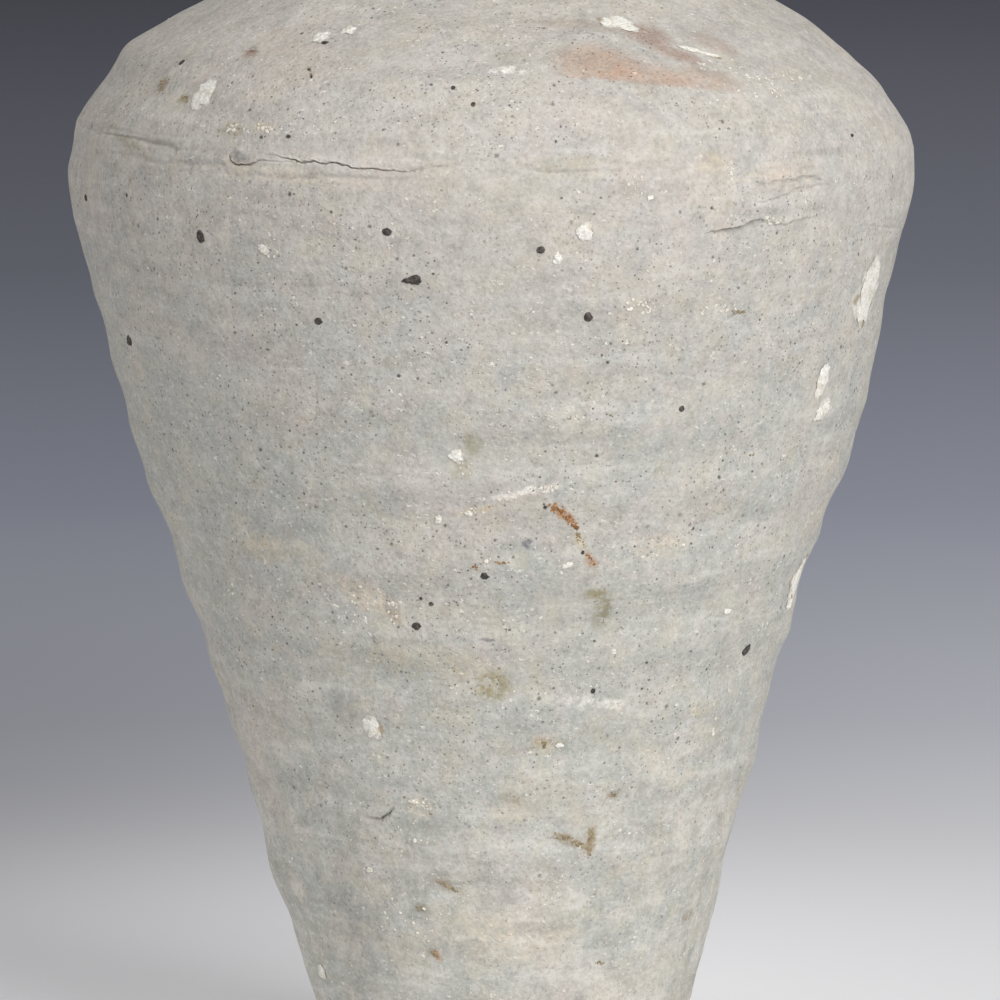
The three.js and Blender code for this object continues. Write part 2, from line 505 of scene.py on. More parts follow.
def fired_clay():
    """The group both clays use: mottled, with iron specks and pale grit, and the height of its grain."""
    tree = bpy.data.node_groups.new("fired_clay", "ShaderNodeTree")
    for name, kind in {"Place": "Vector", "Specks": "Float", "Grit": "Float"}.items():
        tree.interface.new_socket(name, in_out="INPUT", socket_type="NodeSocket" + kind)
    for name, kind in {"Colour": "Color", "Height": "Float"}.items():
        tree.interface.new_socket(name, in_out="OUTPUT", socket_type="NodeSocket" + kind)
    given = tree.nodes.new("NodeGroupInput").outputs
    result = tree.nodes.new("NodeGroupOutput").inputs
    clay = Recipe(tree)
    place = given["Place"]
    tone = clay.lay(clay.fade(clay.clouds(place, 9 * MM, 4, 0.6), 0.35, 0.65), GREY_CLAY, WARM_CLAY)
    tone = clay.wash(tone, clay.clouds(place, 24 * MM, 3), 0.5, 0.7, 0.35, PINK_CLAY)
    tone = clay.wash(tone, clay.clouds(place, 5.5 * MM, 4, 0.6), 0.5, 0.68, 0.36, STRAW_CLAY)
    tone = clay.wash(tone, clay.clouds(place, 3.6 * MM, 3, 0.6), 0.52, 0.7, 0.32, PINK_CLAY)
    level = clay.part(clay.ragged(place, 14 * MM, 5 * MM), "Z")
    tone = clay.wash(tone, level, *CROWN_LIMITS, 0.25, PINK_CLAY)
    streaks = clay.patches(clay.stretch(place, (24 * MM, 24 * MM, 2.4 * MM)), 3)
    tone = clay.wash(tone, streaks, 0.52, 0.75, 0.28, PALE_CLAY)
    tone = clay.wash(tone, streaks, 0.48, 0.28, 0.2, DARK_CLAY)
    soiled = clay.sum(clay.product(clay.fade(level, *SOILED_LIMITS), 0.22), 0.08)
    soil = clay.clouds(place, 7 * MM, 5, 0.65)
    tone = clay.wash(tone, soil, 0.52, 0.66, soiled, PALE_CLAY)
    tone = clay.wash(tone, soil, 0.48, 0.34, soiled, DARK_CLAY)
    smudges = clay.clouds(place, 2.6 * MM, 3, 0.6)
    tone = clay.wash(tone, smudges, 0.5, 0.72, 0.28, PALE_CLAY)
    tone = clay.wash(tone, smudges, 0.5, 0.28, 0.28, DARK_CLAY)
    grain = clay.clouds(place, 0.7 * MM, 3, 0.7)
    tone = clay.wash(tone, grain, 0.5, 0.7, 0.3, PALE_CLAY)
    tone = clay.wash(tone, grain, 0.5, 0.3, 0.34, DARK_CLAY)
    uneven = clay.ragged(place, 0.4 * MM, 0.2 * MM)
    few = clay.dots(uneven, 2.2 * MM, 0.47 * MM, 0.5)
    some = clay.dots(uneven, 1.1 * MM, 0.3 * MM, 0.65)
    many = clay.dots(uneven, 0.7 * MM, 0.2 * MM, 1)
    specks = clay.sum(clay.sum(few, some, "MAXIMUM"), many, "MAXIMUM")
    specks = clay.product(specks, clay.fade(clay.clouds(place, 15 * MM), 0.28, 0.55))
    specks = clay.product(specks, clay.sum(clay.product(clay.fade(level, *SPECK_LIMITS), 0.6), 0.4))
    specks = clay.product(specks, given["Specks"])
    rough = clay.ragged(place, 0.45 * MM, 0.3 * MM)
    flecks = clay.fade(clay.patches(clay.stretch(rough, (1.1 * MM, 1.1 * MM, 0.7 * MM)), 4, 0.6), 0.58, 0.68)
    flecks = clay.sum(flecks, clay.dots(rough, 0.9 * MM, 0.24 * MM, 0.4), "MAXIMUM")
    where = clay.sum(clay.product(clay.fade(clay.clouds(place, 6 * MM, 4, 0.6), 0.4, 0.6), 0.75), 0.25)
    grit = clay.product(clay.product(flecks, where), given["Grit"])
    tone = clay.lay(grit, tone, PALE_GRIT)
    tone = clay.lay(clay.product(specks, 0.9), tone, IRON_SPECK)
    height = clay.sum(clay.product(grain, 0.5), clay.product(clay.clouds(place, 1.8 * MM, 2), 0.7))
    height = clay.sum(height, clay.product(grit, 0.35))
    tree.links.new(tone, result["Colour"])
    tree.links.new(height, result["Height"])
    return tree


clay_group = fired_clay()


def clay_material(name, specks, grit, roughness, depth):
    """A matt material of fired clay, to which stains can be added."""
    material, recipe, place = matt(name, roughness, specular=0.3)
    mix = material.node_tree.nodes.new("ShaderNodeGroup")
    mix.node_tree = clay_group
    mix.inputs["Specks"].default_value = specks
    mix.inputs["Grit"].default_value = grit
    material.node_tree.links.new(place, mix.inputs["Place"])
    recipe.coat(mix.outputs["Colour"], mix.outputs["Height"], 0.6, depth)
    return material


stoneware = clay_material("stoneware", specks=1, grit=0.95, roughness=0.9, depth=0.6 * MM)

foot_edge = at(FOOT_RADIUS, 0)
taper_corner = at(BELLY_RADIUS, BELLY_HEIGHT - TAPER_DROP)
taper = (taper_corner - foot_edge).normalized()
inward = Vector((-taper.z, 0, taper.x)) * WALL
knee = taper_corner - taper * TAPER_ROUND
inner_knee = knee + inward
inner_belly = on_turn(TURN_RADIUS - WALL, 0)
inner_corner = inner_knee + taper * ((inner_belly.x - inner_knee.x) / taper.x)
floor_corner = inner_knee + taper * ((FLOOR - inner_knee.z) / taper.z)
fillet_top = floor_corner + taper * FLOOR_FILLET
fillet_foot = at(floor_corner.x - FLOOR_FILLET, FLOOR)
groove_low = SEAM_ANGLE - GROOVE_ANGLE

underside = [at(0, 0)] + line(at(0, 0), at(FOOT_RADIUS - FOOT_BEVEL, 0), INSIDE_STEP)
outside = bend(underside[-1], foot_edge, foot_edge + taper * FOOT_BEVEL, EDGE_STEP)
outside += line(outside[-1], knee, SKIN_STEP)
outside += bend(knee, taper_corner, on_turn(TURN_RADIUS, 0), SKIN_STEP)
outside += turn(TURN_RADIUS, 0, groove_low, EDGE_STEP)
inside = [on_turn(TURN_RADIUS - GROOVE_DEPTH, SEAM_ANGLE)]
inside += turn(TURN_RADIUS - WALL, SEAM_ANGLE, 0, 1.5 * MM)
inside += bend(inner_belly, inner_corner, inner_knee, INSIDE_STEP)
inside += line(inner_knee, fillet_top, INSIDE_STEP)
inside += bend(fillet_top, floor_corner, fillet_foot, 2 * MM)
inside += line(fillet_foot, at(0, FLOOR), INSIDE_STEP)

# A tool skidded over the wall below the seam on the right and tore it, and there are smaller scratches and a
# short crack near the bottom. Each point is right and up, in mm of the picture, and how strong the line is.
GOUGE = [(34.8, 44.1, 0.3), (36.4, 44.5, 0.8), (38.3, 44.8, 1), (41.6, 45.7, 1), (42.9, 46.1, 0.2)]
GOUGE_EDGE = [(42.6, 46.2, 0), (43.9, 46.1, 0.9), (46.7, 45.7, 1), (50.0, 46.7, 0.8), (53.0, 47.2, 0)]
SCRATCHES = [
    [(39.2, 51.9, 0), (43.9, 52.1, 0.6), (48.6, 52.7, 0.8), (51.9, 53.3, 1), (53.8, 52.1, 0.3)],
    [(42.0, 48.8, 0.3), (45.3, 49.3, 0.7), (46.7, 50.0, 0.7), (48.6, 50.9, 0.7), (53.8, 51.9, 0.3)],
    [(43.0, 50.6, 0), (46.0, 50.9, 0.5), (48.5, 51.9, 0.3)],
    [(36.6, 29.3, 0), (38.5, 30.2, 1), (40.9, 31.1, 0.3)],
    [(-22.0, -52.2, 0.5), (-19.7, -52.4, 2), (-18.4, -51.7, 2), (-17.6, -50.8, 0.8)],
    [(59.2, 45.5, 0), (62.5, 44.9, 0.35), (65.5, 44.7, 0.25)],
]

lower_body = throw([(underside, 0), (outside, 1), (inside, 0)])
settle(lower_body)
refine(lower_body, [GOUGE, GOUGE_EDGE, *SCRATCHES], reach=1.7, cuts=5)
crease(lower_body, GOUGE, width=0.22, depth=1.1, lip=0.45, slope=1.2)
crease(lower_body, GOUGE_EDGE, width=0.4, depth=-0.4)
for path in SCRATCHES:
    crease(lower_body, path, width=0.28, depth=0.45, lip=0.15)
walls = [BVHTree.FromBMesh(lower_body)]
finish(lower_body, "thrown_lower_body", "jar", stoneware, ["lower_body"])

# Shoulder
# The dome of the jar, thrown upside down as a bowl and set on the lower body. Its sloped crown ends in a
# flat land round the bore, on which the mouth stands.
CROWN_SLOPE = math.radians(22)
DOME_STEP = 0.6 * MM
CROWN_STEP = 0.75 * MM
RIM_STEP = 0.8 * MM
BORE_STEP = 3 * MM
SLIP = 0.3 * MM  # the layer of slip between luted faces
BORE_RADIUS = 11.5 * MM
BORE_TAPER = 0.045  # how much narrower in radius the bore gets for each metre down
BORE_EASE = 1.8 * MM
COLLAR_RADIUS = BORE_RADIUS + 8.5 * MM
LIP_TOP = 206.2 * MM

crown_angle = math.pi / 2 - CROWN_SLOPE
crown_start = on_turn(TURN_RADIUS, crown_angle)
land_height = crown_start.z + (crown_start.x - COLLAR_RADIUS) * math.tan(CROWN_SLOPE)
inner_turn = TURN_RADIUS - WALL
inner_crown_start = on_turn(inner_turn, crown_angle)
seam_base = SEAM_ANGLE + SLIP / TURN_RADIUS


def bore_radius(height):
    """The bore's radius, which narrows downwards from the lip."""
    return BORE_RADIUS - (LIP_TOP - height) * BORE_TAPER


rim_radius = bore_radius(land_height - WALL) + BORE_EASE
rim = at(rim_radius, inner_crown_start.z + (inner_crown_start.x - rim_radius) * math.tan(CROWN_SLOPE))
bore_foot = at(bore_radius(rim.z + BORE_EASE), rim.z + BORE_EASE)

seam_face = [on_turn(TURN_RADIUS - GROOVE_DEPTH, seam_base)]
outside = [on_turn(TURN_RADIUS, SEAM_ANGLE + GROOVE_ANGLE)]
outside += turn(TURN_RADIUS, SEAM_ANGLE + GROOVE_ANGLE, crown_angle, DOME_STEP)
outside += line(crown_start, at(COLLAR_RADIUS, land_height), CROWN_STEP)
inside = line(at(COLLAR_RADIUS, land_height), at(bore_radius(land_height), land_height), BORE_STEP)
inside += line(inside[-1], bore_foot, BORE_STEP)
inside += bend(bore_foot, at(bore_foot.x, rim.z), rim, RIM_STEP)
inside += line(rim, inner_crown_start, INSIDE_STEP)
inside += turn(inner_turn, crown_angle, seam_base, BORE_STEP)

shoulder = throw([(seam_face, 0), (outside, 1), (inside, 0)], ring=True)
settle(shoulder)
walls.append(BVHTree.FromBMesh(shoulder))
finish(shoulder, "domed_shoulder", "jar", stoneware, ["shoulder"])

# Luting coil
# A coil of soft clay pressed into the bevelled seam and smeared out thin over both its edges with the thumb.
# Here and there the smear didn't take, and at the front left it dried open as a crack.
COIL_BACK = 0.6 * MM  # the slip behind the coil
COIL_SMEAR = 2.2 * MM  # how far it is smeared past the groove's edges
COIL_PROUD = 0.07 * MM
COIL_SUNK = 0.16 * MM  # how deep its thin edge is worked into the wall
COIL_ROWS = 46
COIL_AROUND = 840
THUMB_RISE = 0.04 * MM  # of the fine lines that the thumb drew along the coil
THUMB_GAP = 0.7 * MM
THUMB_TURNS = 6  # how often those lines change in each radian round the jar

# How far the coil's two edges stray, in mm, how often round the jar, and a shift of the noise
LOW_WAVER = [(0.9, 5, 0), (0.35, 17, 0)]
HIGH_WAVER = [(0.8, 6, 4), (0.3, 25, 0)]

# Each point is right and up, in mm of the picture, and how far open or how deep the line is there.
CRACK = [
    (-39.5, 56.8, 0), (-37.1, 56.7, 0.15), (-34.9, 56.3, 0.6), (-32.7, 55.6, 0.9), (-31.0, 55.9, 1),
    (-28.8, 55.3, 0.8), (-27.6, 55.4, 1), (-23.9, 54.7, 0.7), (-19.9, 54.3, 0.65), (-16.4, 53.9, 0.35),
    (-13.0, 54.3, 0),
]
CRACK_BRANCH = [
    (-43.6, 57.8, 0.2), (-44.6, 56.8, 0.6), (-44.3, 55.8, 1), (-43.2, 55.2, 1.3), (-41.4, 55.3, 1.1),
    (-40.0, 55.8, 0.6), (-37.2, 55.6, 0.3), (-32.5, 55.7, 0.2),
]
LUMP = [(-43.0, 57.3, 0.5), (-42.4, 56.7, 1), (-41.6, 56.5, 0.3)]
SMEAR_EDGES = [
    [
        (-68.9, 62.2, 0.7), (-65.8, 60.8, 1.1), (-61.3, 60.2, 1), (-57.0, 58.7, 1.2), (-54.6, 58.4, 1),
        (-52.6, 57.2, 0.2),
    ],
    [(-66.6, 57.1, 0.5), (-61.3, 56.9, 0.4), (-56.0, 55.5, 0.4), (-50.0, 55.3, 0.6), (-44.8, 55.2, 0.6)],
    [
        (-61.3, 52.9, 0.2), (-54.8, 50.9, 0.6), (-45.0, 50.7, 0.6), (-41.0, 50.9, 0.3), (-28.3, 51.6, 0.4),
        (-17.3, 50.5, 0),
    ],
    [(-45.9, 53.6, 0.3), (-34.9, 52.9, 0.5), (-26.5, 53.1, 0.5), (-17.3, 52.5, 0.3), (-5.0, 52.6, 0)],
    [(-16.4, 53.9, 0.5), (-10.7, 54.7, 0.5), (-3.3, 54.9, 0.3), (2.0, 55.0, 0)],
    [
        (1.5, 56.8, 0.2), (2.4, 56.1, 0.6), (2.8, 55.1, 0.7), (6.2, 54.0, 0.7), (10.9, 53.7, 0.6),
        (23.1, 54.4, 0.4), (38, 54, 0),
    ],
    [(8.5, 56.8, 0.3), (15.6, 56.1, 0.4), (21.3, 55.1, 0.3), (30.0, 55.2, 0)],
    [(36.0, 55.0, 0), (46.0, 55.6, 0.25), (56.0, 57.4, 0.15), (66.0, 60.0, 0)],
]

# Where the thumb slipped and left the smear wrinkled: right, up, half width, half height in mm, and strength
WRINKLED = [
    (46.5, 50.5, 13, 5.5, 1.0),
    (36.0, 55.0, 6, 3.5, 0.8),
    (-60.0, 56.0, 12, 4.5, 0.45),
    (5.0, 54.0, 14, 3.5, 0.4),
    (24.0, 51.0, 8, 3.5, 0.5),
]
WRINKLE_RISE = 0.25 * MM
WRINKLE_LENGTH = 2.2 * MM
WRINKLE_WIDTH = 0.8 * MM
LUMP_SIZE = 0.75 * MM  # of the smaller lumps among the wrinkles
LUMP_SHARE = 0.6
BACK_WRINKLES = 0.15  # how strong they are behind


def waver(azimuth, rows):
    """How far an edge of the coil strays at an azimuth."""
    around = Vector((math.cos(azimuth), math.sin(azimuth), 0))
    strays = [reach * noise.noise(around * often + Vector((0, 0, shift))) for reach, often, shift in rows]
    return sum(strays) * MM


def coil_edges(azimuth):
    """The two angles on the turn between which the coil shows."""
    low = SEAM_ANGLE - GROOVE_ANGLE - (COIL_SMEAR + waver(azimuth, LOW_WAVER)) / TURN_RADIUS
    high = SEAM_ANGLE + GROOVE_ANGLE + (COIL_SMEAR + waver(azimuth, HIGH_WAVER)) / TURN_RADIUS
    return low, high


def across_coil(share):
    """How much of the coil's full rise is there: none at its two edges."""
    return math.sin(math.pi * share) ** 0.5


def wrinkles(point):
    """How far the wrinkled smear stands out at a point."""
    spot = picture_place(point)
    strength = BACK_WRINKLES if point.y > 0 else 0
    for right, up, half_width, half_height, share in WRINKLED:
        if point.y < 0:
            strength += share * swell(spot.x - right, half_width) * swell(spot.y - up, half_height)
    long = Vector((point.x / WRINKLE_LENGTH, point.y / WRINKLE_LENGTH, point.z / WRINKLE_WIDTH))
    return WRINKLE_RISE * strength * (noise.noise(long) + LUMP_SHARE * noise.noise(point / LUMP_SIZE))


coil_outside = [on_turn(TURN_RADIUS, row / COIL_ROWS) for row in range(COIL_ROWS + 1)]
coil_inside = [on_turn(TURN_RADIUS - GROOVE_DEPTH + COIL_BACK, SEAM_ANGLE)]
coil = throw([(coil_inside, 0), (coil_outside, 1)], around=COIL_AROUND, ring=True)
skin = coil.verts.layers.float["skin"]
for vert in coil.verts:
    azimuth = math.atan2(vert.co.y, vert.co.x)
    if vert[skin]:
        share = min(1, max(0, math.asin((vert.co.z - BELLY_HEIGHT) / TURN_RADIUS)))
        low, high = coil_edges(azimuth)
        angle = low + (high - low) * share
        place = on_turn(TURN_RADIUS, angle)
        rise = relief(azimuth, place.z) - COIL_SUNK + (COIL_SUNK + COIL_PROUD) * across_coil(share)
        rise += THUMB_RISE * noise.noise(Vector((azimuth * THUMB_TURNS, 0, place.z / THUMB_GAP)))
        point = Vector((place.x * math.cos(azimuth), place.x * math.sin(azimuth), place.z))
        rise += wrinkles(point) * across_coil(share)
        place = on_turn(TURN_RADIUS + rise, angle)
        vert.co = Vector((place.x * math.cos(azimuth), place.x * math.sin(azimuth), place.z))
    vert.co.x += lean(vert.co.z)
refine(coil, [CRACK, CRACK_BRANCH], reach=1.1, cuts=4)
for path in SMEAR_EDGES:
    crease(coil, path, width=0.42, depth=0.6, lip=0.12)
for path in SCRATCHES:
    crease(coil, path, width=0.28, depth=0.55, lip=0.2)
crease(coil, LUMP, width=0.9, depth=-0.4)
crease(coil, CRACK_BRANCH, width=0.15, depth=0.45, lip=0.2)
crease(coil, CRACK, width=0.11, depth=0.75, lip=0.25)
walls.append(BVHTree.FromBMesh(coil))
luting_clay = clay_material("luting_clay", specks=0.6, grit=0.45, roughness=0.93, depth=0.35 * MM)
finish(coil, "smeared_luting_coil", "jar", luting_clay, ["luting_coil"])

# Mouth
# A short waisted neck under a thick rolled lip, thrown apart and luted to the crown with slip. The lip's
# top is wiped flat and its edges are worn by the bungs and covers of its working life.
NECK_RADIUS = BORE_RADIUS + 5.5 * MM
LIP_RADIUS = BORE_RADIUS + 10 * MM
LIP_HEIGHT = 8 * MM
NECK_HEIGHT = 4.5 * MM
LIP_LAND = 4.2 * MM
MOUTH_AROUND = 240
LIP_STEP = 0.7 * MM
THROAT_STEP = 1.5 * MM
LUTED = 0.1 * MM  # the lowest part, which is luted down and not worn
WEAR_MEAN = 0.15  # in mm
WEAR = [(0.22, 8), (0.06, 2.2)]  # how uneven the wear is and over what length, both in mm

mouth_base = land_height + SLIP
lip_foot = mouth_base + NECK_HEIGHT
lip_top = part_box("mouth")[1][2]
collar = at(COLLAR_RADIUS - SLIP, mouth_base)
neck = at(NECK_RADIUS, lip_foot)
lip_side = at(LIP_RADIUS, lip_foot + LIP_HEIGHT / 2)
ease = at(BORE_RADIUS + BORE_EASE, lip_top)
lip_land = at(ease.x + LIP_LAND, lip_top)
bore_head = at(bore_radius(lip_top - BORE_EASE), lip_top - BORE_EASE)

outside = [collar]
outside += bend(collar, at(neck.x, mouth_base), neck, EDGE_STEP)
outside += bend(neck, at(lip_side.x, lip_foot), lip_side, EDGE_STEP)
outside += bend(lip_side, at(lip_side.x, lip_top), lip_land, EDGE_STEP)
inside = line(lip_land, ease, LIP_STEP)
inside += bend(ease, at(BORE_RADIUS, lip_top), bore_head, EDGE_STEP)
inside += line(bore_head, at(bore_radius(mouth_base), mouth_base), THROAT_STEP)
mouth = throw([(outside, 1), (inside, 0)], around=MOUTH_AROUND, ring=True)
skin = mouth.verts.layers.float["skin"]
tilt = mouth.verts.layers.float["tilt"]
for vert in mouth.verts:
    if vert[skin] and vert.co.z > mouth_base + LUTED:
        outward = facing_out(math.atan2(vert.co.y, vert.co.x), vert[tilt])
        vert.co += outward * min(layered(vert.co, WEAR, -WEAR_MEAN), 0) * MM
finish(mouth, "rolled_mouth", "jar", stoneware, ["mouth"])

# Bung
# A plug whittled from a branch with a knife, so its sides are a ring of long flat cuts. The end grain of its
# head is dry and cracked, and the part that goes down the bore is dark.
BUNG_TIP, BUNG_HEAD = (corner[2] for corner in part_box("bung"))
BUNG_CROWN = 1.5 * MM
BUNG_BEVEL = 1.2 * MM
BUNG_CLEARANCE = 0.3 * MM
BUNG_AROUND = 300
TIP_STEP = 1.5 * MM
SIDE_STEP = 0.7 * MM
HEAD_STEP = 0.3 * MM
WHITTLE_CUTS = 13
WHITTLE_DEPTH = 0.5 * MM
WHITTLE_REACH = 0.7  # the least cosine of the angle between a cut and what it can take off
WHITTLE_MIDDLE = 13 * MM  # how far above the tip a slanting cut has its own depth
CORE_RADIUS = 0.5 * MM  # inside which the cuts change nothing

# The head's end grain, and the cracks in it, each with its angle in radians and its length and width in mm
HEAD_DEPTH = 0.6 * MM
GRAIN_DEPTH = 0.12 * MM
GRAIN_SIZE = 1.5 * MM
GRAIN_SUNK = 0.6  # of its depth
CHECKS = [(0.6, 8.5, 0.32), (2.5, 6.0, 0.22), (4.1, 9.5, 0.28), (5.4, 5.0, 0.18)]
CHECK_DEPTH = 1.2 * MM
CHECK_WAVER = 0.25 * MM
CHECK_BEND = 2 * MM  # the length over which a crack wavers


def bung_radius(height):
    """The bung's radius, which follows the bore."""
    return bore_radius(height) - BUNG_CLEARANCE


shoulder_height = BUNG_HEAD - BUNG_CROWN
head_edge = at(bung_radius(shoulder_height - BUNG_BEVEL), shoulder_height - BUNG_BEVEL)
tip_edge = at(bung_radius(BUNG_TIP + BUNG_BEVEL), BUNG_TIP + BUNG_BEVEL)
outline = [at(0, BUNG_TIP)]
outline += line(outline[-1], at(bung_radius(BUNG_TIP) - BUNG_BEVEL, BUNG_TIP), TIP_STEP)
outline += bend(outline[-1], at(bung_radius(BUNG_TIP), BUNG_TIP), tip_edge, EDGE_STEP)
outline += line(tip_edge, head_edge, SIDE_STEP)
head_rim = at(bung_radius(shoulder_height) - BUNG_BEVEL, shoulder_height)
outline += bend(head_edge, at(head_edge.x, shoulder_height), head_rim, HEAD_STEP)
outline += line(head_rim, at(0, BUNG_HEAD), HEAD_STEP)
bung = throw([(outline, 1)], around=BUNG_AROUND)
chance = random.Random(4)
cuts = []
for i in range(WHITTLE_CUTS):
    angle = (i + chance.uniform(-0.25, 0.25)) * math.tau / WHITTLE_CUTS
    cuts.append((angle, chance.uniform(0.2, 1), chance.uniform(-0.02, 0.02)))
for vert in bung.verts:
    azimuth = math.atan2(vert.co.y, vert.co.x)
    radius = math.hypot(vert.co.x, vert.co.y)
    above = vert.co.z - BUNG_TIP
    flat = radius
    for angle, depth, slant in cuts:
        facing = math.cos(azimuth - angle)
        if facing > WHITTLE_REACH:
            limit = bung_radius(vert.co.z) - WHITTLE_DEPTH * depth - slant * (above - WHITTLE_MIDDLE)
            flat = min(flat, limit / facing)
    if radius > CORE_RADIUS:
        vert.co.x *= flat / radius
        vert.co.y *= flat / radius
    if vert.co.z > shoulder_height - HEAD_DEPTH:
        vert.co.z += GRAIN_DEPTH * (noise.noise(vert.co / GRAIN_SIZE) - GRAIN_SUNK)
        for angle, length, width in CHECKS:
            stray = CHECK_WAVER * noise.noise(Vector((radius / CHECK_BEND, angle, 0)))
            aside = abs(math.sin(azimuth - angle) * radius + stray)
            open_by = width * MM * (1 - radius / (length * MM))
            if math.cos(azimuth - angle) > 0 and aside < open_by:
                vert.co.z -= CHECK_DEPTH * (1 - aside / open_by)


BARK_SIDE = Vector((7 * MM, -5 * MM, 0))  # where the branch's pith lies from the bung's axis
RING_GAP = 1.3 * MM
PALE_WOOD = colour(146, 116, 84)
DARK_WOOD = colour(98, 72, 50)
GREY_WOOD = colour(138, 128, 114)
BORE_STAIN = colour(58, 44, 34)


def aged_wood():
    """Dry greyed wood with growth rings and fibres, stained where it sits in the bore."""
    material, wood, place = matt("aged_wood", roughness=0.8, specular=0.3)
    centred = wood.step("Mapping", {}, {"Vector": place, "Location": BARK_SIDE, "Scale": (1, 1, 0.05)})
    centred = wood.ragged(centred, 4 * MM, 0.5 * MM)
    rings = wood.sum(wood.product(wood.length(centred), math.tau / RING_GAP), 0, "SINE")
    fibres = wood.patches(wood.stretch(place, (0.35 * MM, 0.35 * MM, 6 * MM)), 3, 0.6)
    tone = wood.lay(wood.fade(rings, -0.6, 1.0), PALE_WOOD, DARK_WOOD)
    tone = wood.wash(tone, fibres, 0.5, 0.7, 0.5, DARK_WOOD)
    tone = wood.wash(tone, wood.clouds(place, 6 * MM, 3), 0.35, 0.65, 0.6, GREY_WOOD)
    height = wood.part(wood.ragged(place, 3 * MM, 0.8 * MM), "Z")
    tone = wood.wash(tone, height, lip_top + 0.5 * MM, lip_top - 1.5 * MM, 0.85, BORE_STAIN)
    grain = wood.sum(wood.product(fibres, 0.7), wood.product(rings, 0.12))
    wood.coat(tone, grain, 0.6, 0.35 * MM)
    return material


finish(bung, "whittled_bung", "bung", aged_wood(), ["bung"])

# Iron spots
# Beads of iron from the clay that melted in the kiln and stand on the skin as small dark blisters.
SPOT_RISE = 0.22 * MM
SPOT_LEVEL = 3  # how often a lump's mesh is divided
SPOT_ROUGH = 0.15
BACK_SPOTS = 26
BACK_SEED = 50
SEED_STEP = 3.7  # from one spot's noise to the next one's
STEEPEST = 0.3  # the smallest share of its width or height that a mark is taken to show
BROAD_LUMPS = 1.6  # in each radius of a lump
FINE_LUMPS = 4
OUTSIDE = 0.2  # metres from the axis, from where the back is looked at

# Right, up, width and height as seen, in mm, and the turn in degrees
FRONT_SPOTS = [
    (-49.2, 43.3, 1.2, 1.9, 15),
    (-18.6, 44.1, 1.4, 1.2, 0),
    (-14.0, 36.2, 1.8, 1.6, 0),
    (-15.2, 36.1, 1.9, 0.8, 5),
    (-29.9, 29.4, 1.2, 1.1, 0),
    (-61.0, 26.2, 0.9, 1.7, 8),
    (6.7, 41.1, 1.3, 1.2, 0),
    (14.5, 30.1, 1.3, 1.5, 20),
    (-2.6, -12.5, 1.3, 1.0, 0),
    (-13.7, -20.7, 1.4, 1.3, 0),
    (40.5, -24.7, 1.1, 1.7, -20),
    (29.9, 15.0, 0.9, 0.9, 0),
    (15.3, -31.4, 0.8, 0.8, 0),
    (57.9, 60.0, 0.5, 0.5, 0),
    (-4.4, 65.1, 0.7, 0.8, 0),
    (-11.3, -17.1, 0.8, 0.6, 0),
    (-28.8, 75.2, 1.1, 0.5, 0),
    (-31.4, 70.8, 0.5, 0.4, 20),
    (-31.0, 69.6, 0.3, 0.6, 20),
    (-34.8, 59.8, 0.7, 0.6, 0),
    (-52.3, 72.0, 0.5, 0.9, 0),
    (-7.7, 67.8, 0.7, 0.7, 0),
    (-68.1, 49.7, 0.4, 1.0, 5),
    (7.4, -1.2, 0.6, 0.5, 0),
    (-13.0, -16.2, 0.5, 0.5, 0),
    (13.6, -8.6, 0.5, 0.6, 0),
]


def nearest_hit(start, direction):
    """The point of the jar's outside that a line of sight meets first, and the way the wall faces there."""
    hits = [tree.ray_cast(start, direction) for tree in walls]
    hits = [hit for hit in hits if hit[0]]
    point, facing, _, _ = min(hits, key=lambda hit: hit[3])
    return point, facing


def seen(right, up):
    """The place on the front that is seen at a point of the picture."""
    through = AIM + (Vector((right, 0, 0)) + picture_up * up) * MM
    return nearest_hit(eye, (through - eye).normalized())


def along_wall(facing):
    """The level and the upward way along a wall that faces a way."""
    level = Vector((0, 0, 1)).cross(facing).normalized()
    return level, facing.cross(level)


def unforeshortened(right, up, width, height):
    """A place on the front and the true size there of a mark whose size is given as it is seen, in mm."""
    point, facing = seen(right, up)
    sideways, upwards = along_wall(facing)
    wide = width * MM / max(STEEPEST, abs(sideways.x))
    high = height * MM / max(STEEPEST, upwards.dot(picture_up))
    return point, facing, wide, high


def unseen(azimuth, height):
    """A place on the jar's outside, looked for from outside towards the axis."""
    start = Vector((math.cos(azimuth), math.sin(azimuth), 0)) * OUTSIDE + Vector((0, 0, height))
    return nearest_hit(start, -Vector((start.x, start.y, 0)).normalized())


def on_wall(point):
    """The nearest place of the jar's outside."""
    nearest = min((tree.find_nearest(point) for tree in walls), key=lambda hit: hit[3])
    return nearest[0], nearest[1]


def blister(bm, point, facing, width, height, turned, rise, level, rough, seed):
    """Adds a flattened lump that follows the wall, half of it under the skin."""
    made = bmesh.ops.create_icosphere(bm, subdivisions=level, radius=1)["verts"]
    sideways, upwards = along_wall(facing)
    for vert in made:
        unit = vert.co.copy()
        wobble = 1 + rough * noise.noise(unit * BROAD_LUMPS + Vector((seed, 0, 0))) * 2
        wobble += rough * noise.noise(unit * FINE_LUMPS + Vector((0, seed, 0)))
        x = unit.x * width / 2 * wobble
        y = unit.y * height / 2 * wobble
        x, y = x * math.cos(turned) - y * math.sin(turned), x * math.sin(turned) + y * math.cos(turned)
        base, normal = on_wall(point + sideways * x + upwards * y)
        vert.co = base + normal * unit.z * rise * wobble
    return made


def spot(point, facing, width, height, turned, seed):
    """Adds one iron spot."""
    blister(spots, point, facing, width, height, turned, SPOT_RISE, SPOT_LEVEL, SPOT_ROUGH, seed)


